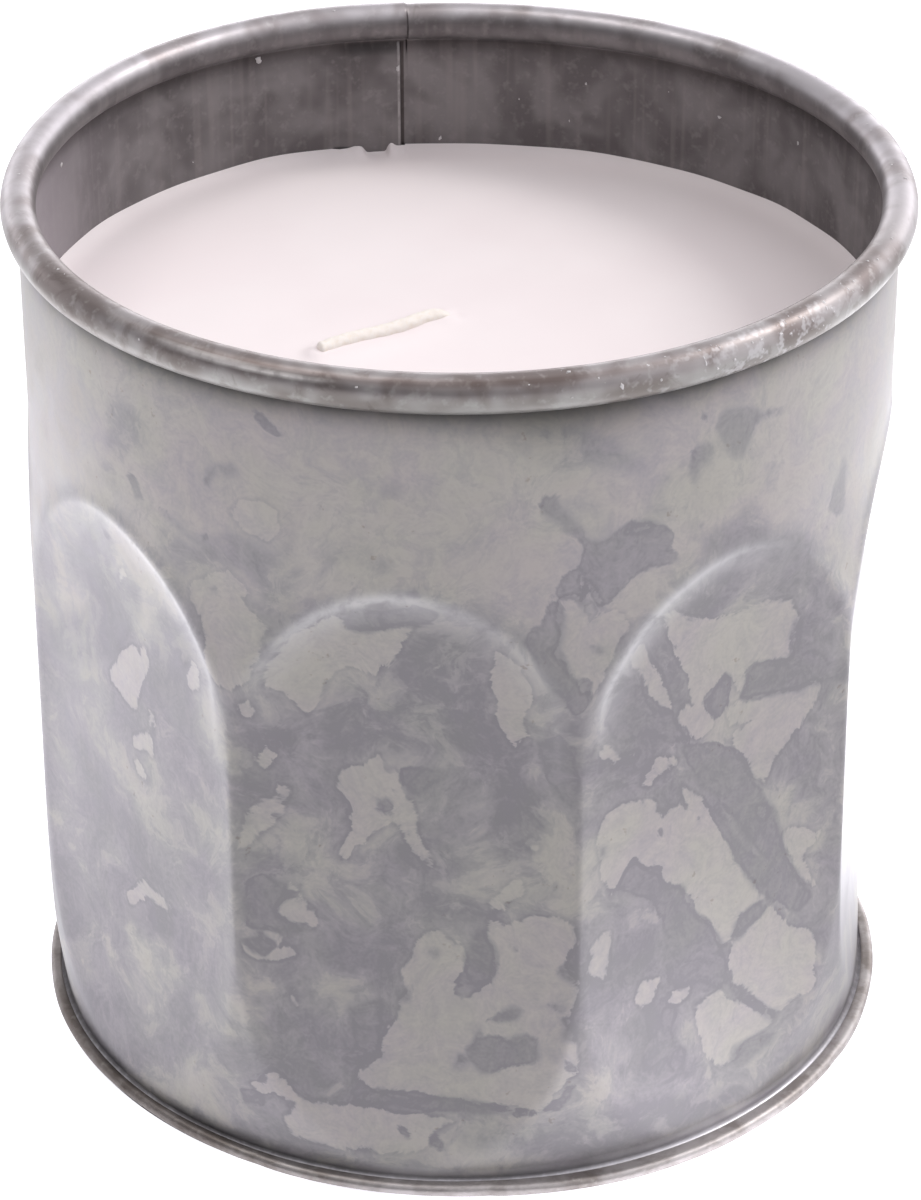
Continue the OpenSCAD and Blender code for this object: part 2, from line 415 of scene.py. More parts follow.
def ring_points(r, z, kind, phi):
    lapd = (np.degrees(phi) + 360) % 360
    on_flap = ((lapd > 360 + LAP_AT - 0.04) & (lapd < 360 + LAP_END)).astype(float)
    bend = smooth01(lapd, 360 + LAP_END - 1.9, 360 + LAP_END + 0.8)
    flap = np.where(on_flap > 0, 1 - bend, 0.0)
    flap = np.where((lapd >= 360 + LAP_END) & (lapd < 360 + LAP_END + 0.8), 1 - bend, flap)
    zz = np.full_like(phi, z)
    if kind == "w":
        return cyl(phi, sheet_r(phi, zz), zz)
    if kind == "i":
        rr = sheet_r(phi, zz, groove=False) - SHEET
        rr = rr - SHEET * flap * smooth01(z, 2.0, 3.0) * (1 - smooth01(z, 86.9, 87.9))
        return cyl(phi, rr, zz)
    if kind in "tb":
        off = out_of_round(phi, np.full_like(phi, 90.0))
        # where the curl's end overlaps at the back, the bead is a little thicker
        over = 0.7 * smooth01(lapd, 187.1, 187.9) * (1 - smooth01(lapd, 198, 214))
        dr, dz = r - BEAD_C, z - BEAD_Z
        grow = 1 + (0.10 * over + 0.012 * np.sin(7 * phi + 1) * np.sin(3 * phi) + 0.01 * np.sin(13 * phi + 2)) * (1 if dz > -1.3 else 0.0)
        top = 1 if dz > -1.2 else 0
        return cyl(phi, BEAD_C + dr * grow + off + 0.12 * over * top, BEAD_Z - BEAD_DROP + dz * BEAD_TALL + 0 * phi)
    return cyl(phi, np.full_like(phi, r), zz)


verts = [cyl(W_phi, sheet_r(W_phi, W_z, W_s), W_z)]
kinds = ["w"] * len(W_phi)
phis, zs = [W_phi], [W_z]
faces = [[list(f) for f in W_f]]
start = len(W_phi)
prev = np.array(top_ring)


def join(a, b):
    i = np.arange(len(a))
    k = (i + 1) % len(a)
    return np.stack([a[i], a[k], b[k], b[i]], 1).tolist()


for r, z, kind in rings:
    verts.append(ring_points(r, z, kind, COL))
    phis.append(COL)
    zs.append(np.full(NC, z))
    kinds += [kind] * NC
    cur = start + np.arange(NC)
    faces.append(join(prev, cur))
    prev, start = cur, start + NC

# below the wax the inner face is never seen: it goes on with fewer columns
keep = np.array([i for i in range(NC) if i % 2 == 0 or cols[i] in (round(LAP_AT - 0.10, 6), round(LAP_AT + 0.02, 6))])
COL2 = COL[keep]
z_in = [72.5] + list(np.linspace(70, 4, 23)) + [2.4, FOOT_Z]
cur = start + np.arange(len(keep))
verts.append(ring_points(None, z_in[0], "i", COL2))
phis.append(COL2)
zs.append(np.full(len(keep), z_in[0]))
kinds += ["i"] * len(keep)
fan = []
for j in range(len(keep)):
    a, b = keep[j], keep[(j + 1) % len(keep)]
    span = list(range(a, b + 1)) if b > a else list(range(a, NC)) + list(range(0, b + 1))
    fan.append([prev[i] for i in span] + [cur[(j + 1) % len(keep)], cur[j]])
faces.append(fan)
prev, start = cur, start + len(keep)
for z in z_in[1:]:
    verts.append(ring_points(None, z, "i", COL2))
    phis.append(COL2)
    zs.append(np.full(len(keep), z))
    kinds += ["i"] * len(keep)
    cur = start + np.arange(len(keep))
    faces.append(join(prev, cur))
    prev, start = cur, start + len(keep)
foot = []
fo = SHEET + 0.5
for a in np.linspace(180, 270, 6)[1:]:
    foot.append((FOOT_R + 0.5 + fo * math.cos(math.radians(a)), FOOT_Z + fo * math.sin(math.radians(a))))
foot += [(RING_R - BASE_T - 0.05, BASE_T), (RING_R - BASE_T - 0.01, BASE_T + 0.05), (RING_R - BASE_T - 0.01, BASE_T + SHEET - 0.05), (RING_R - BASE_T - 0.05, BASE_T + SHEET)]
for r, z in foot:
    verts.append(cyl(COL2, np.full(len(keep), r), np.full(len(keep), z)))
    phis.append(COL2)
    zs.append(np.full(len(keep), z))
    kinds += ["f"] * len(keep)
    cur = start + np.arange(len(keep))
    faces.append(join(prev, cur))
    prev, start = cur, start + len(keep)
# back to the full number of columns for the visible bend above the flange
foot2 = [(FOOT_R + 0.5, BASE_T + SHEET)] + [(FOOT_R + 0.5 + 0.5 * math.cos(math.radians(a)), FOOT_Z + 0.5 * math.sin(math.radians(a))) for a in np.linspace(270, 180, 7)[1:-1]]
first = True
for r, z in foot2:
    verts.append(cyl(COL, np.full(NC, r), np.full(NC, z)))
    phis.append(COL)
    zs.append(np.full(NC, z))
    kinds += ["f"] * NC
    cur = start + np.arange(NC)
    if first:
        fan = []
        for j in range(len(keep)):
            a, b = keep[j], keep[(j + 1) % len(keep)]
            span = list(range(a, b + 1)) if b > a else list(range(a, NC)) + list(range(0, b + 1))
            fan.append([prev[j], prev[(j + 1) % len(keep)]] + [cur[i] for i in span[::-1]])
        faces.append(fan)
        first = False
    else:
        faces.append(join(prev, cur))
    prev, start = cur, start + NC
faces.append(join(prev, np.array(low_ring)))

verts = np.concatenate(verts)
V_phi, V_z = np.concatenate(phis), np.concatenate(zs)
kinds = np.array(kinds)
all_faces = [f for part in faces for f in part]
V_s = np.full(len(verts), 9.0)
V_s[:len(W_s)] = W_s

# ------------------------------------------------------------------ patina: outlines of the larger patches
# Drawn in the picture frame of the camera above, and laid on the wall through it.
# L light and crisp, D dark and crisp, l and d the same but soft.
PATCHES = """
L 413,626 405,640 396,655 385,668 374,678 368,672 360,667 348,666 335,672 325,682 320,691 315,700 307,715 303,711 294,700 280,690 262,687 265,672 275,655 290,640 305,628 320,620 335,615 344,619 346,630 370,632 390,627
D 346,628 343,618 350,610 365,607 380,609 413,607 440,613 432,622 413,626 398,627 380,631 362,632
L 496,652 505,655 513,662 520,672 527,685 533,700 522,713 528,735 515,748 505,735 495,720 500,712 498,695 492,687 494,670
L 378,755 366,766 350,765 343,768 336,779 337,790 345,796 350,805 352,818 343,820 355,824 352,832 345,840 341,850 338,861 347,860 350,850 352,843 362,843 370,835 378,828 388,820 396,822 402,830 407,842 413,852 420,860 431,866 427,855 423,845 418,835 416,822 416,805 413,800 404,798 400,788 397,775 393,770 391,780 397,797 391,793 387,780 383,768
D 376,800 388,799 394,808 390,817 382,812 376,808
D 418,824 423,822 425,828 419,830
D 344,808 350,810 349,816 343,814
d 346,822 355,822 356,831 349,832
L 237,703 248,700 256,712 252,718 240,716
L 262,746 270,748 275,752 273,765 268,772 260,770 255,760
L 277,785 288,788 286,800 279,805 279,814 272,826 258,836 246,848 236,850 240,830 245,812 262,803 276,799
D 268,817 276,815 279,820 270,822
D 246,820 256,819 254,824 245,825
L 276,912 283,900 300,899 307,905 303,915 300,928 290,922 280,916
L 309,907 315,913 312,928 306,928
L 284,890 292,885 298,890 296,896 288,896
D 244,880 262,876 280,886 292,898 280,903 275,913 285,922 300,932 290,937 270,928 255,930 246,925 242,905
L 241,942 248,950 258,956 268,957 280,949 290,947 298,952 295,959 285,962 265,962 250,958 242,952
L 262,934 272,934 284,941 280,945 268,940
D 246,940 262,937 275,943 268,952 256,954 247,948
l 236,990 260,987 285,984 292,991 288,1002 298,1003 297,1012 280,1008 268,1015 260,1024 247,1022 240,1010
L 286,985 293,990 298,1003 297,1012 290,1004
L 250,1082 262,1084 266,1075 272,1070 280,1078 290,1090 296,1098 285,1099 275,1092 262,1094
D 262,1073 268,1078 266,1083 259,1081
D 240,1088 258,1092 268,1098 262,1106 244,1102
L 434,930 427,932 418,942 413,958 403,972 408,985 410,996 400,1002 398,1020 387,1024 383,1040 380,1055 370,1062 358,1068 356,1081 375,1089 400,1092 430,1096 455,1100 480,1104 500,1106 520,1107 540,1111 550,1104 552,1095 560,1090 568,1080 577,1075 577,1060 573,1040 569,1020 577,1005 577,985 566,975 562,965 570,955 577,945 575,928 560,920 545,917 530,917 518,926 505,926 495,918 489,905 498,897 503,890 512,882 524,884 524,898 512,902 503,912 492,912 486,922 487,935 494,948 497,960 495,978 487,985 475,992 468,1000 460,1000 455,990 461,980 464,960 462,945 447,940 440,932
D 475,1040 490,1037 510,1038 530,1036 538,1044 541,1060 532,1068 512,1068 495,1073 480,1073 470,1062 466,1050
D 486,1022 500,1013 515,1009 522,1014 515,1021 500,1024
D 474,1028 480,1025 482,1038 475,1040
D 453,1062 460,1054 468,1058 463,1070 455,1070
D 543,1006 555,1004 568,1010 556,1014
D 560,1019 572,1017 576,1030 572,1041 563,1042 565,1030
D 562,1058 571,1060 578,1070 571,1075 563,1068
D 560,972 567,964 577,966 578,978 568,982 560,978
D 399,990 408,992 411,1000 401,1001
D 547,1112 547,1104 559,1098 566,1086 576,1082 571,1098 561,1109
D 516,944 522,946 520,952 514,950
D 430,950 437,951 434,956 429,955
D 453,981 460,984 459,990 453,988
D 484,923 487,940 496,952 496,976 487,986 475,989 463,985 466,965 470,945 476,930
D 350,1093 380,1090 420,1095 460,1100 500,1105 545,1112 520,1116 470,1114 430,1113 390,1107 355,1102
L 300,1101 345,1106 400,1112 448,1117 455,1121 442,1130 422,1139 424,1147 400,1152 360,1150 320,1143 290,1136 286,1118
D 395,1126 402,1124 410,1135 404,1137
D 430,1133 440,1130 438,1140 446,1150 436,1148
D 350,1010 370,1003 384,1000 384,1020 381,1040 378,1055 365,1060 358,1062 350,1068 342,1060 356,1045 352,1030
d 240,830 236,760 240,735 262,722 285,726 300,735 290,745 270,742 258,750 252,770 258,778 275,780 268,795 250,798
d 245,855 262,848 280,856 297,852 300,868 288,880 270,884 250,876
d 340,690 380,684 430,690 490,700 500,740 480,752 400,752 370,758 330,750 322,722
d 405,640 440,628 480,650 492,680 486,720 440,730 390,720 380,690
D 402,770 420,766 445,772 442,782 430,788 420,798 410,794 402,782
d 490,790 520,782 545,800 556,822 545,850 520,866 500,858 492,830
d 400,830 395,850 405,870 440,880 470,872 450,850 440,835 450,815 480,800 470,780 450,790 440,830
D 535,742 560,735 575,755 580,785 574,810 560,800 548,780
d 440,890 480,900 478,925 440,925 420,915
l 450,785 490,790 500,810 480,830 455,815
l 300,735 318,745 322,765 312,785 296,780 292,760
d 575,690 590,700 583,745 572,790 560,775 562,730
L 420,897 428,895 437,898 430,902 422,901
L 529,848 538,848 536,853 528,852
L 436,667 443,667 443,672 437,673
l 540,800 570,795 572,850 560,885 540,870 535,840
L 563,600 575,597 583,605 590,620 598,616 612,613 620,615 629,626 626,633 618,645 612,660 606,672 598,690 592,692 588,682 582,688 577,680 570,672 567,660 560,655 555,650 562,645 563,630 560,615
D 588,646 600,649 606,655 597,657
D 574,682 583,678 590,684 588,692 580,694
D 585,543 592,540 603,540 620,528 632,521 645,519 655,520 668,525 672,535 670,548 678,560 665,566 650,570 640,574 630,580 622,590 615,600 603,607 598,612 594,600 588,582 580,575 580,590 586,605 592,618 585,612 575,598 562,598 553,592 562,580 571,571 579,561
L 626,533 635,525 650,523 655,527 648,533 635,534
L 585,582 590,583 600,603 604,618 598,614 591,597
D 520,641 530,632 534,625 540,635 545,620 552,612 548,603 560,605 563,620 560,642 555,650 565,658 570,675 578,685 590,692 588,705 575,716 563,700 550,690 543,675 533,655 525,648
D 537,505 545,498 555,498 565,510 578,525 591,541 584,543 572,532 558,524 545,515
d 504,438 512,450 520,458 532,463 540,468 552,470 556,479 562,474 572,469 585,466 600,468 620,470 640,474 651,468 645,460 632,455 620,443 600,434 580,428 555,425 530,428 512,431
d 318,559 326,554 335,551 345,537 358,532 370,540 375,555 388,562 398,574 388,575 375,573 360,568 345,563 335,569 325,570
D 405,594 412,590 418,596 408,598
D 497,607 505,604 508,614 500,616
d 380,488 395,482 402,490 395,500 384,498
d 107,395 118,398 135,408 148,425 151,445 140,447 130,450 125,462 118,458 108,448 103,440 110,425 104,410
d 100,460 112,465 120,490 112,492 103,480
D 127,475 133,477 138,485 131,482
D 135,490 140,492 143,500 137,497
D 203,480 208,467 216,464 216,474 210,481 213,490 206,487
D 222,469 233,466 237,473 228,475
D 157,507 168,518 178,528 190,540 198,545 210,536 206,533 196,539 185,530 172,515
d 153,532 165,528 180,538 196,546 212,537 230,532 250,538 268,550 280,554 285,532 283,515 270,505 263,500 280,505 294,517 297,540 295,560 306,570 295,590 292,603 310,598 330,597 325,606 300,625 280,630 262,622 250,612 240,600 236,594 250,598 262,602 258,590 248,578 240,570 225,567 210,570 195,572 180,575 168,562
L 205,575 228,570 240,580 250,594 240,598 232,592 248,610 262,622 272,630 262,640 262,655 252,665 250,680 232,690 216,682 206,662 204,640 200,620 192,600 188,585
D 209,586 215,585 217,591 211,592
D 264,655 266,645 273,640 271,650 268,660
d 235,628 250,625 262,632 262,645 254,655 240,655 235,645
L 243,501 262,504 275,515 278,532 268,543 255,535 240,525 232,512
D 253,410 262,416 274,428 284,434 277,436 264,426 255,417
L 108,670 120,655 134,645 140,656 145,645 150,668 140,690 135,710 125,702 119,690 110,680
L 183,676 192,662 199,672 200,690 190,690
L 132,735 142,732 152,735 153,757 146,752 138,752 133,745
L 148,712 153,715 153,731 149,728
L 133,762 138,760 145,772 151,782 147,785 138,775
l 188,750 193,748 198,765 197,778 190,775 185,768
L 138,882 145,880 155,893 165,900 176,915 165,908 152,900 140,898 130,903 129,895
d 148,905 160,903 172,916 176,932 165,938 150,930 142,918
l 105,520 125,530 145,550 165,575 180,600 193,632 188,628 180,615 165,610 150,610 145,625 140,600 140,575 132,565 120,570 113,572 115,555 110,540 103,530
L 118,572 124,569 126,578 121,582 117,579
l 56,530 62,535 70,560 75,580 86,592 84,602 78,605 72,595 65,600 60,588 62,570 55,550
d 80,530 92,525 98,545 110,560 118,580 138,585 140,610 134,635 120,645 105,660 80,665 62,650 58,620 80,612 92,600 88,575 78,560
d 150,615 165,612 180,622 192,640 195,655 185,672 172,690 155,682 148,650
D 100,523 106,530 112,541 106,540
l 60,935 110,940 118,1000 90,990 65,955
l 128,930 160,945 166,990 150,1020 132,990
L 645,650 652,664 660,677 671,694 672,708 660,708 651,697 646,685 640,668 634,668 632,655 640,645
L 662,616 675,610 690,618 710,620 730,615 760,605 790,600 800,620 795,640 790,658 770,660 755,662 747,672 745,690 738,690 733,680 726,671 717,684 706,694 698,707 692,700 690,685 685,670 675,650 668,635
d 645,622 657,616 665,637 674,655 682,675 688,700 690,715 680,712 672,692 660,675 650,660 648,645
L 677,715 683,708 695,707 705,708 711,715 712,725 703,735 697,738 688,732 680,724
L 728,708 745,702 765,698 795,690 815,680 823,688 812,710 800,728 785,745 775,762 768,780 765,788 760,778 752,772 748,760 740,752 732,742 735,732 752,727 758,719 730,726
D 612,700 625,688 642,684 646,697 656,708 672,712 678,724 690,736 672,742 650,735 630,742 612,738 606,722
D 705,702 715,688 725,673 733,678 730,690 728,705 718,718 709,713
D 748,676 755,665 780,662 800,658 815,648 825,655 830,665 845,660 850,680 840,683 825,682 812,686 800,695 790,692 765,697 748,700 742,697
D 790,640 795,620 803,622 800,650 791,653
L 600,755 605,745 612,750 618,757 628,757 639,751 636,760 622,763 615,768 608,760 601,770
L 642,784 648,772 655,768 652,762 662,760 679,760 672,770 662,773 655,780 650,786
L 680,782 690,793 703,800 710,812 720,830 733,850 736,860 745,875 757,890 765,898 752,905 742,915 733,930 730,940 722,945 715,930 710,917 698,915 692,905 686,893 684,884 668,884 662,878 660,870 645,866 635,858 625,870 618,888 612,900 610,890 603,876 600,860 598,845 600,830 606,818 617,808 630,803 645,804 656,802 658,810 663,820 668,806 679,805 690,815 700,820 690,808 682,797
D 657,833 662,830 664,836 659,838
D 601,850 606,848 607,858 602,860
d 606,864 617,861 618,876 610,880
D 635,860 645,868 658,872 662,880 670,887 684,887 688,898 700,917 712,925 722,946 728,962 730,982 716,990 700,984 682,990 668,984 665,960 668,940 662,915 650,900 630,895 615,892 626,872
D 745,912 760,902 766,908 752,926 740,940 734,938 737,922
L 784,835 792,828 805,829 816,833 822,832 815,842 805,850 803,862 808,875 816,886 806,880 797,868 790,855 783,845
L 759,808 765,806 768,815 764,823 758,820
D 705,797 720,812 735,835 748,850 765,860 768,885 762,892 748,876 736,858 722,832
D 680,745 730,745 745,758 750,775 762,790 775,812 790,860 800,880 815,895 800,915 780,905 768,895 766,860 740,830 715,795 700,785 690,770
L 733,945 740,935 750,925 762,920 772,905 780,912 790,925 810,928 820,940 815,960 815,985 800,995 780,1010 770,1008 760,998 745,990 732,982 728,965
D 728,985 740,990 755,1000 768,1010 776,1019 765,1015 750,1005 735,996
L 695,1005 705,1000 720,990 730,1000 740,1003 755,1010 768,1015 774,1022 765,1030 750,1037 740,1042 735,1055 725,1066 715,1066 705,1050 700,1030
D 732,1060 735,1050 750,1040 765,1033 776,1032 770,1042 755,1052 740,1066 734,1067
L 640,984 648,982 660,980 655,1000 645,1010 636,996
L 668,997 680,990 693,982 690,995 678,1005 669,1003
D 665,1005 680,1010 672,1030 675,1045 688,1050 685,1070 672,1072 665,1060 655,1070 643,1072 645,1050 655,1035 660,1020
L 603,937 611,935 609,978 600,982 590,976 592,950
D 586,979 595,982 605,988 603,992 590,986
l 605,1040 625,1038 632,1055 620,1068 606,1062
l 590,1078 640,1076 700,1080 690,1094 650,1100 610,1104 585,1095
d 590,1110 640,1106 700,1092 740,1088 730,1104 680,1130 620,1145 560,1155 470,1150 450,1135 520,1125
D 716,425 725,412 740,408 752,408 765,413 786,408 784,413 770,417 758,425 752,440 745,458 735,455 725,440
D 690,455 700,445 712,446 712,458 702,465 696,480 690,475
d 735,520 745,508 755,505 765,515 770,530 765,545 750,540 735,545 720,555 705,555 703,540 715,530
D 845,458 848,470 845,490 845,510 838,515 830,508 833,490 840,475
d 680,590 690,585 695,575 710,570 735,572 750,570 752,578 745,585 735,580 720,585 715,595 718,610 712,616 700,608 690,605
D 705,414 710,416 709,421 704,419
D 661,478 669,476 668,481 663,482
D 823,525 829,524 829,530 824,530
l 700,470 740,462 745,490 735,515 705,525 695,500
"""


def place_on_wall(px, py):
    """Where the camera's ray through a picture point meets the wall: angle and height."""
    d = FW + (px - 460.5) / FOCAL_PX * RT - (py - 600) / FOCAL_PX * UP
    r = BODY_R
    phi = z = 0.0
    for _ in range(4):
        a = d[0] ** 2 + d[1] ** 2
        b = 2 * (CAM_AT[0] * d[0] + CAM_AT[1] * d[1])
        c = CAM_AT[0] ** 2 + CAM_AT[1] ** 2 - r * r
        q = b * b - 4 * a * c
        if q <= 0:
            q = 0.0
        t = (-b - math.sqrt(q)) / (2 * a)
        p = CAM_AT + d * t
        phi, z = math.atan2(p[0], -p[1]), p[2]
        d1 = float(nearest_panel(np.array(phi)))
        R, P = float(body_at(z)), float(panel_at(z))
        r = min(R, P / math.cos(d1))
    return phi, z


polys = {"L": [], "D": [], "l": [], "d": []}
for line in PATCHES.strip().splitlines():
    kind, *pts = line.split()
    pts = [place_on_wall(*map(float, p.split(","))) for p in pts]
    P = np.array([(a * BODY_R, z) for a, z in pts])
    polys[kind].append(P)
    # the far side wears the same kind of patches, turned over
    Q = np.stack([math.radians(165) * BODY_R - P[:, 0], P[:, 1]], 1)
    if np.abs(P[:, 0]).max() < 62:
        polys[kind].append(Q)
# the strip between the two, at the left end of what the front view shows
R2 = np.random.default_rng(5)
for _ in range(26):
    c = np.array([R2.uniform(-110, -86) * math.pi / 180 * BODY_R, R2.uniform(4, 84)])
    n = int(R2.integers(9, 15))
    a = np.linspace(0, 2 * math.pi, n, endpoint=False)
    rr = R2.uniform(1.2, 5.0) * (1 + 0.35 * R2.standard_normal(n)).clip(0.4, 1.9)
    polys[("L", "D", "l", "d")[int(R2.integers(0, 4))]].append(c + np.stack([rr * np.cos(a) * 0.8, rr * np.sin(a)], 1))


def patch_field(ps, u, z, wide=4.0):
    """Distance inside the nearest of the outlines, in mm; negative outside them."""
    best = np.full(len(u), -wide)
    full = 2 * math.pi * BODY_R
    for P in ps:
        c = P[:, 0].mean()
        uu = (u - c + full / 2) % full - full / 2 + c
        lo, hi = P.min(0) - wide, P.max(0) + wide
        k = np.where((uu > lo[0]) & (uu < hi[0]) & (z > lo[1]) & (z < hi[1]))[0]
        if not len(k):
            continue
        p = np.stack([uu[k], z[k]], 1)
        A, B = P, np.roll(P, -1, 0)
        ab = (B - A)[None]
        t = np.clip(((p[:, None] - A) * ab).sum(2) / np.maximum((ab ** 2).sum(2), 1e-9), 0, 1)
        dist = np.sqrt(((p[:, None] - A - ab * t[..., None]) ** 2).sum(2)).min(1)
        x, y = p[:, 0][:, None], p[:, 1][:, None]
        cross = ((A[:, 1] > y) != (B[:, 1] > y)) & (x < (B[:, 0] - A[:, 0]) * (y - A[:, 1]) / np.where(B[:, 1] == A[:, 1], 1e-9, B[:, 1] - A[:, 1]) + A[:, 0])
        sd = np.where(cross.sum(1) % 2 == 1, dist, -dist)
        best[k] = np.maximum(best[k], sd)
    return best


outer = np.isin(kinds, ["w"])
UU, ZZ = V_phi * BODY_R, V_z
fields = {}
for key, name in (("L", "pat_light"), ("D", "pat_dark"), ("l", "pat_soft_light"), ("d", "pat_soft_dark")):
    f = np.full(len(verts), -4.0)
    f[outer] = patch_field(polys[key], UU[outer], ZZ[outer])
    fields[name] = f

# arch edges made brighter here and there, partly worn metal and partly painted highlight; the lighter zone above the
# arches; painted shadow under the bead, partly dirt, and painted shade at the foot
V_d = nearest_panel(V_phi)
V_k = np.mod(np.round((np.degrees(V_phi - V_d) - TURN - 22.5) / 45), PANELS).astype(int)
side = np.clip(V_d / math.radians(20.5), -1, 1)
# how bright each panel's arch edge is painted, from one end to the other: partly worn metal, partly painted highlight
SIDE_X = [-1, -0.6, -0.3, 0, 0.25, 0.5, 0.8, 1]
ARCH_GLINT_WEAR = {7: [0.20, 0.8, 1.0, 0.95, 0.65, 0.35, 0.35, 0.15], 0: [1.0, 1.0, 0.95, 0.7, 0.35, 0.12, 0.1, 0.1],
       6: [0.1, 0.12, 0.2, 0.36, 0.55, 0.8, 0.6, 0.35], 1: [0.3, 0.5, 0.8, 0.9, 0.9, 0.6, 0.3, 0.2],
       2: [0.9, 1.0, 0.8, 0.4, 0.2, 0.3, 0.5, 0.6], 3: [0.2, 0.3, 0.6, 0.9, 1.0, 0.8, 0.5, 0.4],
       4: [0.7, 0.6, 0.3, 0.4, 0.8, 1.0, 0.9, 0.7], 5: [0.9, 0.9, 0.6, 0.4, 0.3, 0.4, 0.7, 0.9]}
glint_wear_profile = np.zeros(len(verts))
for k in range(PANELS):
    w = V_k == k
    glint_wear_profile[w] = np.interp(side[w], SIDE_X, ARCH_GLINT_WEAR[k])
core = np.exp(-((V_s - 0.05) / 0.62) ** 2)
glow = np.exp(-((V_s + 0.70) / 1.60) ** 2)
low_end = np.where(side < 0, 6.0, 0.0)
arch_glint_wear = np.where(outer, glint_wear_profile * (0.52 * core + 0.44 * glow) * smooth01(V_z - low_end, 42, 54) * (V_z < 73), 0)
crest_d = np.abs(STEP / 2 - np.abs(V_d)) * BODY_R
crest = np.where(outer, np.exp(-(crest_d / 0.75) ** 2) * (1 - smooth01(V_z, 49, 56)) * smooth01(V_z, 3, 12), 0)
zone = np.where(outer, smooth01(V_s, 0.3, 3.0) * smooth01(V_z, 52, 60), 0)
# painted shadow under the bead's overhang, deepened towards the front right, where it is partly dirt
below = np.clip(88.0 - V_z, 0, None)
deep = 1 + 0.9 * np.exp(-((np.degrees(V_phi) - 14) / 12) ** 2)
under = np.where(outer, 0.97 * np.exp(-(below / (1.42 * deep)) ** 1.4), 0)
# painted shade in the crease at the foot
crev = np.where(outer, np.exp(-np.clip(V_z - 1.2, 0, None) / 0.45), 0)
bead = np.where(np.isin(kinds, ["b", "t"]), 1.0, 0.0)
# how far round the bead a point is: 0 outward, 90 on top, 180 inward
rho_v = np.hypot(verts[:, 0], verts[:, 1]) - out_of_round(V_phi, np.full(len(verts), 90.0))
turn = np.mod(np.degrees(np.arctan2((verts[:, 2] - BEAD_Z + BEAD_DROP) / BEAD_TALL, rho_v - BEAD_C)) + 90, 360) - 90
inside_b = np.where(bead > 0, smooth01(turn, 128, 180), 0)
inside_b = np.where(kinds == "t", 1.0, inside_b)
# painted shade, slightly greener, on the bead's lower outside
bead_low = np.where(bead > 0, smooth01(turn, 28, -8) * (turn < 90), 0)
fleck = np.where(kinds == "b", np.exp(-((np.degrees(V_phi) - 40) / 14) ** 2) * (1 - smooth01(turn, 70, 100)), 0)
# painted dark reflection along the middle of the bead's front
bead_dark_reflection = np.where(kinds == "b", np.exp(-((turn - 52) / 14) ** 2) * np.exp(-(np.degrees(V_phi) / 46) ** 2), 0)
# painted sheen on the bead's left and right sides
bead_side_sheen = np.where(kinds == "b", smooth01(np.abs(V_phi), math.radians(62), math.radians(100)), 0)
deg = np.degrees(V_phi)
# painted glint line along the bead at the left front
bead_glint_line = np.where(kinds == "b", np.exp(-((turn - 39 + 0.35 * (deg + 26)) / 6.5) ** 2) * smooth01(deg, -44, -30) * (1 - smooth01(deg, -22, -13)), 0)
# painted light on the foot, strongest at the front right
lit = np.where(((kinds == "f") | (kinds == "w")) & (V_z < 3), (np.exp(-((deg - 42) / 27) ** 2) + 0.4 * np.exp(-((deg + 4) / 16) ** 2)) * (1 - smooth01(V_z, 1.5, 2.6)), 0)
inner = np.where(kinds == "i", 1.0, 0.0)
# painted shade on the inner wall just under the bead
tuck = np.where(kinds == "i", np.exp(-(np.clip(88.0 - V_z, 0, None) / 1.5) ** 2), 0)
# painted light on the inner wall at the left
inner_left_light = np.where(kinds == "i", np.exp(-((np.mod(np.degrees(V_phi), 360) - 260) / 18) ** 2), 0)
footk = np.where(kinds == "f", 1.0, 0.0)
# inside, the lap's free edge: painted shadow in the gap under it and a painted highlight on the corner beside it
seam = np.interp(np.degrees(V_phi), [a for a, _ in SEAM], [v for _, v in SEAM])
seam = np.where((kinds == "i") & (V_z < 87.8), seam * smooth01(V_z, 74.5, 76.5), 0)
wall = mesh_object("wall_sheet", verts, all_faces, {**fields, "seam": seam, "bead_low": bead_low, "fleck": fleck, "tuck": tuck, "inner_left_light": inner_left_light, "bead_dark_reflection": bead_dark_reflection, "bead_side_sheen": bead_side_sheen, "bead_glint_line": bead_glint_line, "lit": lit, "arch_glint_wear": arch_glint_wear, "zone": zone, "under": under, "crev": crev,
                                                    "bead": bead, "inner": np.maximum(inner, inside_b), "footk": footk}, sharp=48)
print("wall: verts", len(verts), "triangles", sum(len(f) - 2 for f in all_faces))

# ------------------------------------------------------------------ base: a disc with its edge folded up and over the wall's flange
NB = 384
BP = np.linspace(0, 2 * math.pi, NB, endpoint=False)
fr = BASE_T + SHEET / 2
prof = [(0.02, 0.0), (14, 0.0), (30, 0.0), (40, 0.0), (RING_R - fr, 0.0)]
prof += [(RING_R - fr + fr * math.cos(math.radians(a)), fr + fr * math.sin(math.radians(a))) for a in np.linspace(-90, 90, 15)[1:]]
prof += [(43.5, 2 * fr), (43.3, 2 * fr - 0.01), (43.22, 2 * fr - 0.05), (43.2, 2 * fr - 0.12), (43.2, BASE_T + SHEET + 0.02)]
prof += [(43.7, BASE_T + SHEET + 0.02), (43.95, BASE_T + SHEET - 0.02), (43.96, BASE_T + 0.02), (43.7, BASE_T - 0.01), (40, BASE_T), (20, BASE_T), (0.02, BASE_T)]
bv, bkind = [], []
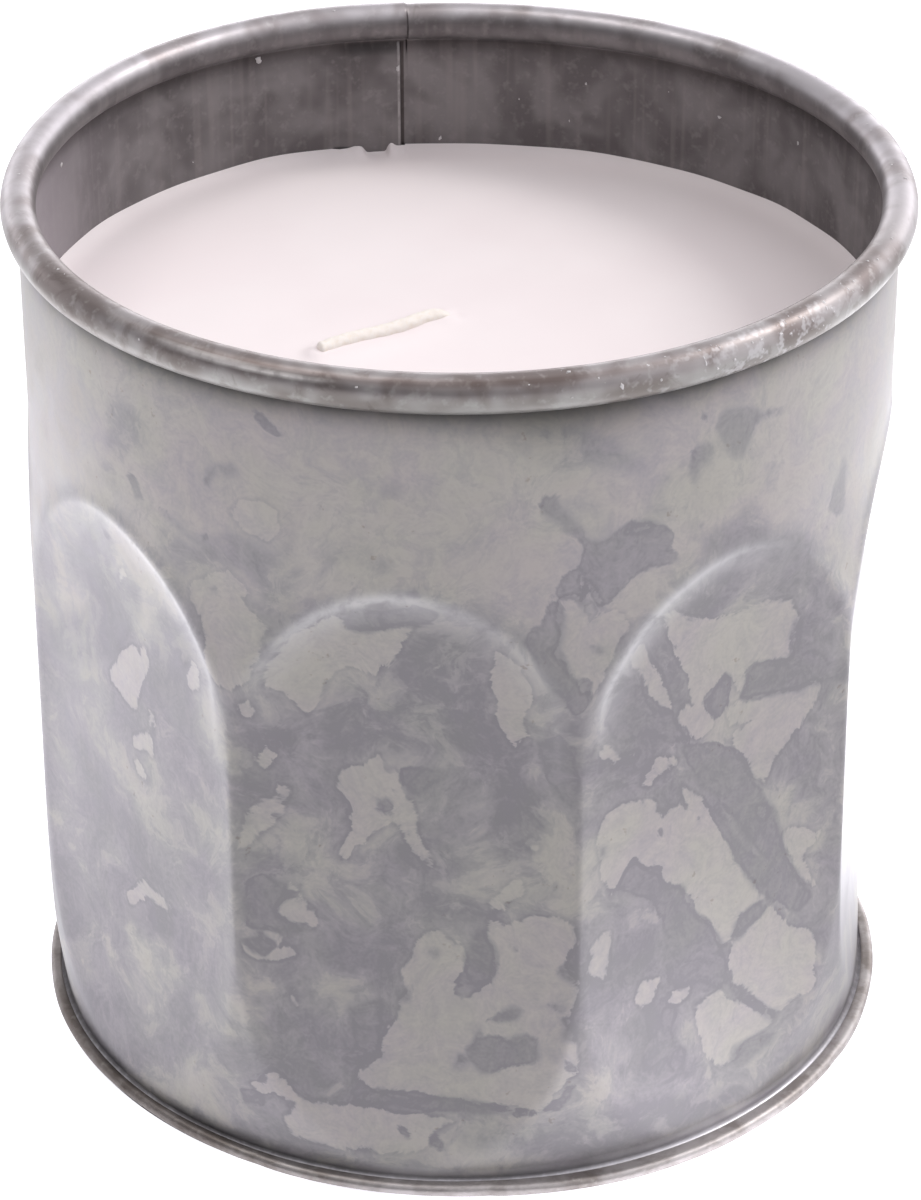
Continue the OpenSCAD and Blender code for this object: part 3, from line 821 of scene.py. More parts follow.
for r, z in prof:
    w = smooth01(np.array(r), 43.0, 43.9)
    wob = 0.05 * np.sin(5 * BP + 0.4) + 0.035 * np.sin(11 * BP + 2.1) + 0.02 * np.sin(23 * BP)
    wob = wob + np.interp((np.degrees(BP) + 180) % 360 - 180, [-100, -80, -62, -45, -32, -20, -8, 2, 12, 24, 46, 62, 80, 110], [0, -.05, -.2, -.3, -.1, .2, .1, .05, .4, .65, .6, .3, .05, 0])
    dz = (0.03 * np.sin(9 * BP + 1.2) + 0.02 * np.sin(17 * BP)) * (z > 0.9)
    # two small dings in the fold
    for a, dep, wd in ((-28, 0.10, 2.0), (3.5, 0.14, 0.9), (61, 0.08, 1.6), (147, 0.1, 1.5)):
        g = np.exp(-(((np.degrees(BP) - a + 180) % 360 - 180) / wd) ** 2)
        wob = wob - dep * g
    bv.append(cyl(BP, r + wob * w * (z > 0.05), z + dz))
    bkind.append(np.full(NB, r))
bf = grid_faces(len(prof), NB).tolist()
bv = np.concatenate(bv)
bf = [f[::-1] for f in bf]
bf.append(list(range(NB)))
bf.append(list(range((len(prof) - 1) * NB, len(prof) * NB))[::-1])
bv[:, 2] = np.maximum(bv[:, 2], 0.0)
bdeg = np.degrees(np.arctan2(bv[:, 0], -bv[:, 1]))
grime = 1.5 * np.exp(-((bdeg + 66) / 40) ** 2) + 0.3 * np.exp(-((bdeg - 84) / 20) ** 2) + 0.6 * np.exp(-((np.abs(bdeg) - 180) / 60) ** 2)
# lighter at the front, where the metal is cleaner, and at the right, where it is painted light
clean_and_lit = 1.2 * np.exp(-((bdeg + 4) / 15) ** 2) + 0.7 * np.exp(-((bdeg - 40) / 26) ** 2)
base = mesh_object("base_ring", bv, [f[::-1] for f in bf], {"rad": np.concatenate(bkind), "grime": grime, "clean_and_lit": clean_and_lit}, sharp=45)

# ------------------------------------------------------------------ wax
WP = np.linspace(-math.pi, math.pi, 288, endpoint=False)
WP = np.unique(np.round(np.concatenate([WP, np.radians(np.linspace(187.5, 196.5, 37) - 360)]), 6))
WP = WP[np.concatenate([[True], np.diff(WP) > 0.0012])]
NW = len(WP)
wx, wy, wdir, wlen, wr, wsink, wbend = WICK
wd = np.array([math.cos(math.radians(wdir)), math.sin(math.radians(wdir))])


def wax_height(x, y, edge):
    """Height of the wax; edge is how far the point is from the wall."""
    h = WAX_Z + WAX_RISE * np.exp(-(edge / 1.05) ** 1.3) + 0.10 * np.exp(-edge / 5.0)
    h = h + 0.055 * np.sin(x * 0.16 + 0.5) * np.sin(y * 0.13 + 1.1) + 0.03 * np.sin(x * 0.31 + y * 0.22) + 0.02 * np.sin(x * 0.5 - y * 0.43 + 2)
    ph = np.degrees(np.arctan2(x, -y)) % 360
    near = np.exp(-(edge / 1.1) ** 2)
    h = h - 0.62 * near * smooth01(ph, 190.3, 190.9) * (1 - smooth01(ph, 193.4, 194.3))
    h = h + near * (0.34 * np.exp(-((ph - 189.9) / 0.45) ** 2) + 0.22 * np.exp(-((ph - 195.0) / 0.9) ** 2))
    h = h + 0.07 * np.exp(-(edge / 1.2) ** 2) * (np.sin(np.radians(ph) * 9 + 1) + 0.6 * np.sin(np.radians(ph) * 23))
    # the wax climbs the wick a little, and dips where it comes out
    t = (x - wx) * wd[0] + (y - wy) * wd[1]
    n = -(x - wx) * wd[1] + (y - wy) * wd[0]
    tt = np.clip(t - wbend, 0, wlen)
    n = n - 0.18 * tt * tt / (tt + 1)
    tc = np.clip(t, 0.0, wlen)
    dist = np.sqrt((t - tc) ** 2 + n ** 2)
    h = h + 0.46 * np.exp(-(np.clip(dist - 0.70, 0, None) / 0.75) ** 1.5)
    h = h - 0.42 * np.exp(-(((t + 0.75) / 0.8) ** 2 + (n / 0.9) ** 2))
    h = h - 0.12 * np.exp(-(((t - 6) / 8) ** 2 + ((n - 3.0) / 1.6) ** 2))
    return h


def wax_wall(phi, z):
    zz = np.full_like(phi, z)
    r = sheet_r(phi, zz, groove=False) - SHEET + 0.05
    lapd = (np.degrees(phi) + 360) % 360
    on = ((lapd > 360 + LAP_AT - 0.6) & (lapd < 360 + LAP_END + 0.8)).astype(float)
    return r - SHEET * on


rad = np.concatenate([np.linspace(0.0, 17.5, 46), np.linspace(17.5, 40.0, 36)[1:], 42.98 - 2.98 * (1 - np.linspace(0, 1, 15)[1:]) ** 1.5])
edge_r = wax_wall(WP, WAX_Z + 0.6)
wv = []
for j, r in enumerate(rad[1:]):
    f = r / 42.98
    rr = r + (edge_r - 42.98) * smooth01(np.array(r), 25, 42.9)
    e = np.clip(edge_r - rr, 0, None)
    x, y = rr * np.sin(WP), -rr * np.cos(WP)
    wv.append(np.stack([x, y, wax_height(x, y, e)], 1))
nt = len(wv)
wz = [74.4, 73, 70.5, 68, 65, 62, 59, 56, 53, 50, 46, 40, 34, 28, 22, 16, 12, 8, 5, 3, 1.8, 1.35]
for z in wz:
    rr = wax_wall(WP, z) - (0.05 if z < 3 else 0)
    wv.append(cyl(WP, rr, np.full(NW, z)))
wv.append(cyl(WP, np.full(NW, 42.1), np.full(NW, 0.9)))
wv.append(cyl(WP, np.full(NW, 41.9), np.full(NW, 0.47)))
rows = len(wv)
wv = np.concatenate(wv)
centre_top, centre_bot = len(wv), len(wv) + 1
h0 = float(wax_height(np.array(0.0), np.array(0.0), np.array(43.0)))
wv = np.concatenate([wv, [[0, 0, h0], [0, 0, 0.47]]])
wf = grid_faces(rows, NW).tolist()
wf = [f[::-1] for f in wf]
i = np.arange(NW)
k = (i + 1) % NW
wf += np.stack([np.full(NW, centre_top), i, k], 1).tolist()
last = (rows - 1) * NW
wf += np.stack([np.full(NW, centre_bot), last + k, last + i], 1).tolist()
wf = [f[::-1] for f in wf]
ph_all = np.arctan2(wv[:, 0], -wv[:, 1])
rho_all = np.hypot(wv[:, 0], wv[:, 1])
rim_d = np.interp((ph_all + math.pi), WP + math.pi, edge_r) - rho_all
wax = mesh_object("wax_fill", wv, wf, {"edge": np.clip(rim_d, 0, 6)}, sharp=60)

# ------------------------------------------------------------------ wick: a flat braid, stiff with wax, bent over and lying on the wax


def wick_centre(s):
    """Point, direction, side and up of the wick's middle at length s from its foot."""
    v = WAX_Z + wsink - wbend - BASE_T
    q = math.pi / 2 * wbend
    D = np.array([wd[0], wd[1], 0.0])
    Zv = np.array([0, 0, 1.0])
    S = np.cross(Zv, D)
    if s < v:
        return np.array([wx, wy, BASE_T + s]), Zv, S
    if s < v + q:
        a = (s - v) / wbend
        return np.array([wx, wy, BASE_T + v]) + D * wbend * (1 - math.cos(a)) + Zv * wbend * math.sin(a), Zv * math.cos(a) + D * math.sin(a), S
    t = s - v - q
    c = np.array([wx, wy, WAX_Z + wsink]) + D * (wbend + t)
    c = c + S * (0.22 * math.sin(t * 0.42) * min(1, t / 3) + 0.18 * t * t / (t + 1)) + Zv * (0.05 * math.sin(t * 0.8))
    d = D + S * (0.22 * 0.42 * math.cos(t * 0.42) * min(1, t / 3) + 0.18 * (t * t + 2 * t) / (t + 1) ** 2)
    return c, d / np.linalg.norm(d), S


lie = wlen - wbend
v_len = WAX_Z + wsink - wbend - BASE_T
total = v_len + math.pi / 2 * wbend + lie
ss = np.concatenate([np.linspace(0, v_len - 4, 40), np.linspace(v_len - 4, total - 0.5, 300)[1:], total - 0.5 + 0.5 * np.sin(np.linspace(0, math.pi / 2, 8)[1:])])
NK = 40
TH = np.linspace(0, 2 * math.pi, NK, endpoint=False)
kv, kb = [], []
for s in ss:
    c, d, S = wick_centre(s)
    U = np.cross(S, d)
    U = U / np.linalg.norm(U)
    pitch = 1.9
    p1 = 2 * math.pi * s / pitch
    braid = np.maximum(np.cos(2.5 * np.sin(TH / 2) * 2 + p1 - TH), np.cos(2.5 * np.sin(TH / 2) * 2 - p1 - TH + 2 * TH + math.pi * 0.5))
    strands = np.maximum(np.cos(3 * TH - p1), np.cos(3 * TH + p1))
    fine = 0.012 * np.cos(24 * TH + 5 * p1)
    end = min(1.0, math.sqrt(max(0.0, 1 - ((s - total + 0.5) / 0.5) ** 2))) if s > total - 0.5 else 1.0
    r = (0.80 + 0.022 * strands + fine) * max(end, 0.03)
    flat = np.stack([np.cos(TH) * 1.08, np.sin(TH) * 0.96], 1)
    kv.append(c + (flat[:, :1] * r[:, None]) * S + (flat[:, 1:] * r[:, None]) * U)
    kb.append(strands)
kv = np.concatenate(kv)
kf = grid_faces(len(ss), NK).tolist()
kf.append(list(range(NK)))
kf.append(list(range((len(ss) - 1) * NK, len(ss) * NK))[::-1])
kf = [f[::-1] for f in kf]
wick = mesh_object("wick_braid", kv, [f[::-1] for f in kf], {"strand": np.concatenate(kb)})

# ------------------------------------------------------------------ wick sustainer: a pressed disc with a crimped neck, under the wax
NT = 96
TP = np.linspace(0, 2 * math.pi, NT, endpoint=False)
tp = [(0.85, 0.45), (9.2, 0.45), (9.42, 0.47), (9.5, 0.55), (9.5, 0.68), (9.4, 0.75), (6.5, 0.76), (5.5, 0.9), (4.4, 0.92), (3.4, 0.8), (2.4, 0.85), (1.75, 1.1), (1.42, 1.6), (1.34, 2.2), (1.32, 5.9), (1.28, 6.25), (1.15, 6.42), (0.98, 6.4), (0.88, 6.2), (0.85, 5.8)]
tv = []
for r, z in tp:
    sq = 1 - 0.10 * (np.cos(2 * TP) ** 8) * (1 if (r < 1.4 and r > 1.0 and 2.0 < z < 6.3) else 0)
    tv.append(np.stack([wx + r * sq * np.cos(TP), wy + r * sq * np.sin(TP), np.full(NT, z)], 1))
tv = np.concatenate(tv)
tf = grid_faces(len(tp), NT).tolist()
i = np.arange(NT)
k = (i + 1) % NT
a = (len(tp) - 1) * NT
tf += np.stack([a + i, a + k, k, i], 1).tolist()
tab_ob = mesh_object("sustainer_disc", tv, tf, sharp=40)

# ------------------------------------------------------------------ specks of wax left on the rim and the inner wall
R3 = np.random.default_rng(23)
sv, sf, sn = [], [], 0


def speck(c, normal, r, h):
    """A low, irregular crumb of wax on a surface."""
    global sn
    n = np.asarray(normal, float)
    n /= np.linalg.norm(n)
    t = np.cross(n, [0, 0, 1.0]) if abs(n[2]) < 0.9 else np.cross(n, [1.0, 0, 0])
    t /= np.linalg.norm(t)
    b = np.cross(n, t)
    k = 9
    ang = np.linspace(0, 2 * math.pi, k, endpoint=False)
    rr = r * (1 + 0.28 * R3.standard_normal(k)).clip(0.5, 1.6)
    st = R3.uniform(0.7, 1.3)
    out = []
    for f, hh in ((1.0, -0.05), (0.82, 0.5 * h), (0.45, 0.92 * h)):
        out.append(c + (np.cos(ang) * rr * f * st)[:, None] * t + (np.sin(ang) * rr * f / st)[:, None] * b + n * hh)
    out.append(np.array([c + n * h]))
    out.append(np.array([c - n * 0.06]))
    sv.append(np.concatenate(out))
    for j in range(2):
        for i in range(k):
            q = (i + 1) % k
            sf.append([sn + j * k + i, sn + j * k + q, sn + (j + 1) * k + q, sn + (j + 1) * k + i])
    for i in range(k):
        q = (i + 1) % k
        sf.append([sn + 2 * k + i, sn + 2 * k + q, sn + 3 * k])
        sf.append([sn + q, sn + i, sn + 3 * k + 1])
    sn += 3 * k + 2


def on_bead(phi_deg, th_deg, r, h):
    ph, th = math.radians(phi_deg), math.radians(th_deg)
    off = float(out_of_round(np.array([ph]), np.array([90.0]))[0])
    e = np.array([math.sin(ph), -math.cos(ph), 0])
    n = e * math.cos(th) + np.array([0, 0, math.sin(th)])
    at = e * (BEAD_C + off + BEAD_R * math.cos(th)) + np.array([0, 0, BEAD_Z - BEAD_DROP + BEAD_R * BEAD_TALL * math.sin(th)])
    n = e * math.cos(th) * BEAD_TALL + np.array([0, 0, math.sin(th)])
    speck(at, n, r, h)


for _ in range(34):
    on_bead(R3.normal(38, 13), R3.uniform(-5, 85), abs(R3.normal(0.05, 0.04)) + 0.04, 0.025)
for p, t, r in ((19.0, 8, 0.26), (24, 6, 0.14), (30, 22, 0.15), (34, 8, 0.16), (41.5, 30, 0.18), (43, 20, 0.14), (50, 38, 0.18), (47, 25, 0.12), (57, 60, 0.13), (64, 62, 0.14), (70, 70, 0.14), (13, 74, 0.16), (-12, 30, 0.14), (-41, 25, 0.12), (88, 75, 0.16)):
    on_bead(p, t, r, 0.05)
for _ in range(26):
    on_bead(R3.uniform(-180, 180), R3.uniform(0, 120), abs(R3.normal(0.06, 0.04)) + 0.04, 0.03)


def on_inner(phi_deg, z, r, h):
    ph = math.radians(phi_deg)
    rr = float(sheet_r(np.array([ph]), np.array([z]), groove=False)[0]) - SHEET
    lapd = (phi_deg + 360) % 360
    if 360 + LAP_AT < lapd < 360 + LAP_END:
        rr -= SHEET
    e = np.array([math.sin(ph), -math.cos(ph), 0])
    speck(e * (rr + 0.01) + np.array([0, 0, z]), -e, r, h)


def inner_from_picture(px, py):
    d = FW + (px - 460.5) / FOCAL_PX * RT - (py - 600) / FOCAL_PX * UP
    a = d[0] ** 2 + d[1] ** 2
    b = 2 * (CAM_AT[0] * d[0] + CAM_AT[1] * d[1])
    c = CAM_AT[0] ** 2 + CAM_AT[1] ** 2 - 43.0 ** 2
    t = (-b + math.sqrt(b * b - 4 * a * c)) / (2 * a)
    p = CAM_AT + d * t
    return math.degrees(math.atan2(p[0], -p[1])), p[2]


for px, py, r in ((262, 63, 0.42), (397, 66, 0.42), (65, 165, 0.26), (440, 136, 0.30), (722, 116, 0.22), (800, 143, 0.2), (588, 81, 0.18), (148, 92, 0.12), (520, 96, 0.12)):
    p, z = inner_from_picture(px, py)
    on_inner(p, z, r, 0.05)
for _ in range(6):
    on_inner(R3.uniform(-180, 180), R3.uniform(77, 87), abs(R3.normal(0.05, 0.04)) + 0.04, 0.03)
specks = mesh_object("wax_specks", np.concatenate(sv), sf)

# ------------------------------------------------------------------ materials


class Tree:
    """Short names for building a node tree."""

    def __init__(self, name):
        self.mat = bpy.data.materials.new(name)
        self.mat.use_nodes = True
        self.t = self.mat.node_tree
        self.t.nodes.clear()
        self.out = self.t.nodes.new("ShaderNodeOutputMaterial")
        self.bsdf = self.t.nodes.new("ShaderNodeBsdfPrincipled")
        self.t.links.new(self.bsdf.outputs[0], self.out.inputs[0])
        self.co = self.t.nodes.new("ShaderNodeTexCoord").outputs["Object"]

    def put(self, sock, v):
        if hasattr(v, "is_output"):
            self.t.links.new(v, sock)
        elif isinstance(v, (tuple, list)) and len(v) == 3 and sock.type == "RGBA":
            sock.default_value = (*v, 1)
        else:
            sock.default_value = v

    def math(self, op, a, b=0.0, c=0.0, clamp=False):
        n = self.t.nodes.new("ShaderNodeMath")
        n.operation, n.use_clamp = op, clamp
        for s, v in zip(n.inputs, (a, b, c)):
            self.put(s, v)
        return n.outputs[0]

    def ramp(self, v, a, b, c=0.0, d=1.0, smooth=True):
        n = self.t.nodes.new("ShaderNodeMapRange")
        n.interpolation_type = "SMOOTHSTEP" if smooth else "LINEAR"
        for s, x in zip(n.inputs, (v, a, b, c, d)):
            self.put(s, x)
        return n.outputs[0]

    def mix(self, f, a, b):
        n = self.t.nodes.new("ShaderNodeMix")
        n.data_type = "RGBA"
        self.put(n.inputs[0], f)
        self.put(n.inputs[6], a)
        self.put(n.inputs[7], b)
        return n.outputs[2]

    def mixf(self, f, a, b):
        n = self.t.nodes.new("ShaderNodeMix")
        n.data_type = "FLOAT"
        self.put(n.inputs[0], f)
        self.put(n.inputs[2], a)
        self.put(n.inputs[3], b)
        return n.outputs[0]

    def mult(self, a, b, f=1.0):
        n = self.t.nodes.new("ShaderNodeMix")
        n.data_type, n.blend_type = "RGBA", "MULTIPLY"
        self.put(n.inputs[0], f)
        self.put(n.inputs[6], a)
        self.put(n.inputs[7], b)
        return n.outputs[2]

    def noise(self, scale, detail=4, rough=0.55, vec=None, dist=0.0, colour=False):
        n = self.t.nodes.new("ShaderNodeTexNoise")
        self.put(n.inputs["Vector"], vec if vec is not None else self.co)
        n.inputs["Scale"].default_value = scale
        n.inputs["Detail"].default_value = detail
        n.inputs["Roughness"].default_value = rough
        n.inputs["Distortion"].default_value = dist
        return n.outputs["Color" if colour else "Fac"]

    def voronoi(self, scale, vec=None, feature="F1", rand=1.0, out="Distance"):
        n = self.t.nodes.new("ShaderNodeTexVoronoi")
        n.feature = feature
        self.put(n.inputs["Vector"], vec if vec is not None else self.co)
        n.inputs["Scale"].default_value = scale
        n.inputs["Randomness"].default_value = rand
        return n.outputs[out]

    def scale_co(self, x, y, z, move=(0, 0, 0)):
        n = self.t.nodes.new("ShaderNodeMapping")
        self.put(n.inputs[0], self.co)
        n.inputs["Scale"].default_value = (x, y, z)
        n.inputs["Location"].default_value = move
        return n.outputs[0]

    def warp(self, vec, scale, amount, detail=2):
        """Coordinates pushed about by a colour noise."""
        c = self.noise(scale, detail, 0.5, vec, colour=True)
        s = self.t.nodes.new("ShaderNodeVectorMath")
        s.operation = "SUBTRACT"
        self.put(s.inputs[0], c)
        s.inputs[1].default_value = (0.5, 0.5, 0.5)
        k = self.t.nodes.new("ShaderNodeVectorMath")
        k.operation = "SCALE"
        self.put(k.inputs[0], s.outputs[0])
        k.inputs["Scale"].default_value = amount
        a = self.t.nodes.new("ShaderNodeVectorMath")
        a.operation = "ADD"
        self.put(a.inputs[0], vec)
        self.put(a.inputs[1], k.outputs[0])
        return a.outputs[0]

    def attr(self, name):
        n = self.t.nodes.new("ShaderNodeAttribute")
        n.attribute_name = name
        return n.outputs["Fac"]

    def bump(self, height, strength, distance, normal=None):
        n = self.t.nodes.new("ShaderNodeBump")
        n.inputs["Strength"].default_value = strength
        n.inputs["Distance"].default_value = distance
        self.put(n.inputs["Height"], height)
        if normal is not None:
            self.put(n.inputs["Normal"], normal)
        return n.outputs[0]

    def set(self, **kw):
        for k, v in kw.items():
            self.put(self.bsdf.inputs[k.replace("_", " ")], v)
        return self.mat


def zinc_wall():
    T = Tree("zinc_patina")
    co = T.co
    light, dark = T.attr("pat_light"), T.attr("pat_dark")
    sl, sd = T.attr("pat_soft_light"), T.attr("pat_soft_dark")
    arch_glint_wear, zone, under, crev = (T.attr(k) for k in ("arch_glint_wear", "zone", "under", "crev"))
    bead_a, inner_a, foot_a = T.attr("bead"), T.attr("inner"), T.attr("footk")

    def sub(v, a=0.5):
        return T.math("SUBTRACT", v, a)

    def mul(a, b):
        return T.math("MULTIPLY", a, b)

    def add(*v):
        r = v[0]
        for x in v[1:]:
            r = T.math("ADD", r, x)
        return r

    # swirled fields at several scales
    w1 = T.warp(co, 95, 0.0078, 1)
    w2 = T.warp(w1, 380, 0.0027, 1)
    cloud = T.noise(85, 2, 0.55, w1)
    mott = T.noise(290, 4, 0.66, w2)
    fine = T.noise(1000, 2, 0.66, w2)
    grain = T.noise(2900, 0, 0.6)
    bn = T.noise(150, 2, 0.65, w1)
    bn2 = T.noise(900, 2, 0.65)
    streak = T.noise(1100, 1, 0.5, T.scale_co(1, 1, 0.045))

    # patches: ragged edges, crisp in one place and soft in another
    edge = add(mul(sub(fine), 0.75), mul(sub(mott), 2.3))
    soft = T.ramp(bn, 0.40, 0.66, 0.10, 0.50)
    nsoft = mul(soft, -1.0)
    fl, fd = add(light, edge), add(dark, edge)
    m_l = T.ramp(fl, nsoft, soft)
    m_d = mul(T.ramp(fd, mul(soft, -1.6), mul(soft, 1.6)), T.ramp(zone, 0.0, 1.0, 1.0, 0.80))
    m_sl = T.ramp(add(sl, mul(edge, 1.3)), -0.9, 0.9)
    m_sd = T.ramp(add(sd, mul(edge, 1.3)), -0.8, 0.8)
    rim_l = mul(T.ramp(fl, -0.60, -0.12), T.ramp(fl, 0.10, -0.10))
    rim_d = mul(T.ramp(fd, 0.60, 0.10), m_d)

    tone = add(0.27, mul(sub(cloud), 1.3), mul(sub(mott), 1.2))
    tone = T.ramp(tone, -0.15, 0.95, 0.0, 1.0)
    tone = add(tone, mul(zone, add(0.47, mul(sub(cloud), -1.0))))
    # islands where the coating is a shade lighter, with quick edges
    isl = T.ramp(add(mott, mul(sub(cloud), 0.8)), 0.545, 0.585)
    tone = add(tone, mul(isl, 0.14))
    tone = add(tone, mul(m_sl, 0.22))
    tone = T.math("SUBTRACT", tone, mul(m_sd, add(0.22, mul(zone, 0.16))))
    tone = T.math("MINIMUM", T.math("MAXIMUM", tone, 0.0), 0.92)
    tone = T.mixf(m_l, tone, add(0.80, mul(sub(mott), 0.7), mul(sub(cloud), 0.5)))
    tone = T.mixf(m_d, tone, add(0.13, mul(sub(mott), 0.5)))
    tone = T.math("SUBTRACT", tone, add(mul(rim_l, 0.27), mul(rim_d, 0.20)))
    tone = add(tone, mul(sub(grain), 0.22), mul(sub(streak), 0.16), mul(sub(fine), 0.75))
    tone = T.math("MAXIMUM", tone, 0.0)

    hue = T.ramp(cloud, 0.40, 0.62)
    c0 = (0.200, 0.192, 0.204)
    c1 = T.mix(hue, (0.266, 0.253, 0.264), (0.258, 0.251, 0.250))
    c2 = T.mix(hue, (0.352, 0.326, 0.314), (0.342, 0.325, 0.304))
    col = T.mix(T.ramp(tone, 0.0, 0.45, smooth=False), c0, c1)
    col = T.mix(T.ramp(tone, 0.45, 1.0, smooth=False), col, c2)
    col = T.mult(col, T.mix(T.ramp(bn, 0.38, 0.62), (1.010, 0.996, 1.008), (0.998, 1.000, 0.982)))
    # along the arches: brighter, partly worn metal and partly painted highlight
    glint_wear = mul(arch_glint_wear, T.ramp(mott, 0.30, 0.54, 0.5, 1.0))
    col = T.mix(mul(glint_wear, 0.70), col, (0.58, 0.57, 0.58))
    # rust-brown pin spots in a few places
    spots = mul(T.ramp(bn2, 0.66, 0.74), T.ramp(cloud, 0.55, 0.62))
    col = T.mult(col, (0.76, 0.70, 0.68), mul(spots, 0.8))
    # painted shadow under the bead, partly dirt
    shade = mul(under, T.ramp(bn, 0.25, 0.6, 0.86, 1.0))
    col = T.mult(col, (0.11, 0.107, 0.104), shade)
    # painted shade at the foot
    col = T.mult(col, (0.60, 0.58, 0.57), mul(crev, 0.25))

    # bead: brown-grey, scuffed
    bcol = T.mix(T.ramp(bn, 0.38, 0.64), (0.235, 0.200, 0.192), (0.40, 0.37, 0.37))
    bcol = T.mix(mul(T.ramp(bn2, 0.52, 0.72), 0.4), bcol, (0.50, 0.48, 0.47))
    bcol = T.mult(bcol, (0.55, 0.50, 0.47), mul(T.ramp(mott, 0.55, 0.70), 0.55))

    # painted shade, slightly greener, on the bead's lower outside
    bcol = T.mult(bcol, (0.80, 0.84, 0.81), T.attr("bead_low"))
    # painted dark reflection along the middle of the bead's front
    bcol = T.mult(bcol, (0.60, 0.55, 0.53), T.attr("bead_dark_reflection"))
    # painted sheen on the bead's left and right sides
    bcol = T.mix(mul(T.attr("bead_side_sheen"), T.ramp(bn, 0.30, 0.60, 0.25, 0.62)), bcol, (0.56, 0.53, 0.56))
    # painted glint line along the bead at the left front
    bcol = T.mix(mul(T.attr("bead_glint_line"), T.ramp(bn2, 0.30, 0.55, 0.6, 1.0)), bcol, (1.0, 0.95, 0.93))
    bcol = T.mix(mul(T.attr("fleck"), T.ramp(bn2, 0.50, 0.66, 0.0, 0.45)), bcol, (0.58, 0.56, 0.58))

    # inner face: darker, brownish, blotched and faintly streaked downwards
    icol = T.mix(T.ramp(bn, 0.34, 0.66), (0.148, 0.136, 0.138), (0.240, 0.226, 0.228))
    icol = T.mix(mul(T.ramp(bn2, 0.50, 0.75), 0.40), icol, (0.33, 0.31, 0.31))
    icol = T.mix(mul(T.ramp(streak, 0.5, 0.75), 0.30), icol, (0.31, 0.285, 0.28))
    fcol = T.mix(T.ramp(bn2, 0.4, 0.7), (0.34, 0.325, 0.34), (0.48, 0.465, 0.49))

    # painted light on the inner wall at the left
    # painted shade on the inner wall just under the bead
    icol = T.mult(T.mix(mul(T.attr("inner_left_light"), 0.85), icol, (0.405, 0.375, 0.400)), (0.42, 0.40, 0.40), T.attr("tuck"))
    # painted shadow in the lap's gap, painted highlight on the corner beside it
    seam_a = T.attr("seam")
    icol = T.mult(icol, (0.42, 0.39, 0.38), T.ramp(seam_a, 0.0, 0.8))
    icol = T.mix(mul(T.ramp(seam_a, -0.1, -0.9), T.ramp(mott, 0.35, 0.6, 0.35, 0.9)), icol, (0.40, 0.38, 0.38))

    col = T.mix(bead_a, col, bcol)
    col = T.mix(inner_a, col, icol)
    col = T.mix(foot_a, col, fcol)
    # painted light on the foot, strongest at the front right
    col = T.mix(mul(T.attr("lit"), 0.62), col, (0.86, 0.84, 0.88))

    rough = add(0.43, mul(sub(mott), 0.25), mul(sub(fine), 0.12))
    rough = T.math("SUBTRACT", rough, add(mul(m_l, 0.03), mul(glint_wear, 0.05)))
    rough = T.mixf(bead_a, rough, add(0.31, mul(bn2, 0.24)))
    rough = T.mixf(inner_a, rough, add(0.42, mul(bn2, 0.2)))
    metal = T.mixf(bead_a, 0.68, 0.85)
    metal = T.mixf(inner_a, metal, 0.80)
    return T.set(Base_Color=col, Roughness=rough, Metallic=metal)


def zinc_base():
    T = Tree("zinc_brown")
    wv = T.warp(T.co, 200, 0.003, 3)
    a = T.noise(210, 5, 0.62, wv)
    b = T.noise(900, 4, 0.6)
    s = T.noise(700, 3, 0.5, T.scale_co(1, 1, 4))
    col = T.mix(T.ramp(a, 0.36, 0.66), (0.27, 0.238, 0.220), (0.47, 0.44, 0.43))
    col = T.mix(T.math("MULTIPLY", T.ramp(b, 0.55, 0.75), 0.6), col, (0.62, 0.59, 0.56))
    col = T.mult(col, (0.55, 0.5, 0.47), T.math("MULTIPLY", T.ramp(s, 0.52, 0.72), 0.5))
    col = T.mult(col, (0.52, 0.50, 0.49), T.math("MINIMUM", T.attr("grime"), 1.0))
    # lighter at the front, where the metal is cleaner, and at the right, where it is painted light
    col = T.mix(T.math("MULTIPLY", T.attr("clean_and_lit"), T.ramp(a, 0.30, 0.60, 0.22, 0.48)), col, (0.64, 0.60, 0.61))
    rough = T.math("ADD", 0.34, T.math("MULTIPLY", b, 0.25))
    nrm = T.bump(T.math("ADD", a, T.math("MULTIPLY", b, 0.4)), 0.35, 0.0002)
    return T.set(Base_Color=col, Roughness=rough, Metallic=0.85, Normal=nrm)


def wax_mat():
    T = Tree("poured_wax")
    a = T.noise(55, 3, 0.5)
    b = T.noise(420, 2, 0.55)
    edge_a = T.attr("edge")
    col = T.mix(T.ramp(a, 0.35, 0.65), (0.900, 0.812, 0.816), (0.915, 0.835, 0.837))
    # painted shade: the wax a little darker and greyer near the wall
    col = T.mix(T.math("MULTIPLY", T.ramp(edge_a, 1.6, 0.2), 0.35), col, (0.86, 0.80, 0.80))
    rough = T.math("ADD", 0.40, T.math("MULTIPLY", b, 0.16))
    nrm = T.bump(b, 0.10, 0.0001)
    return T.set(Base_Color=col, Roughness=rough, Normal=nrm, IOR=1.44, Specular_IOR_Level=0.42)


def wick_mat():
    T = Tree("waxed_cotton")
    st = T.attr("strand")
    f = T.noise(2600, 3, 0.6, T.scale_co(1, 1, 1))
    n = T.noise(500, 4, 0.6)
    col = T.mix(T.ramp(st, -0.2, 0.9), (0.895, 0.825, 0.765), (0.915, 0.855, 0.805))
    col = T.mix(T.math("MULTIPLY", T.ramp(n, 0.45, 0.70), 0.5), col, (0.915, 0.845, 0.80))
    col = T.mult(col, (0.975, 0.955, 0.92), T.ramp(f, 0.45, 0.7))
    return T.set(Base_Color=col, Roughness=T.math("ADD", 0.45, T.math("MULTIPLY", f, 0.25)), Normal=T.bump(f, 0.35, 0.00006))


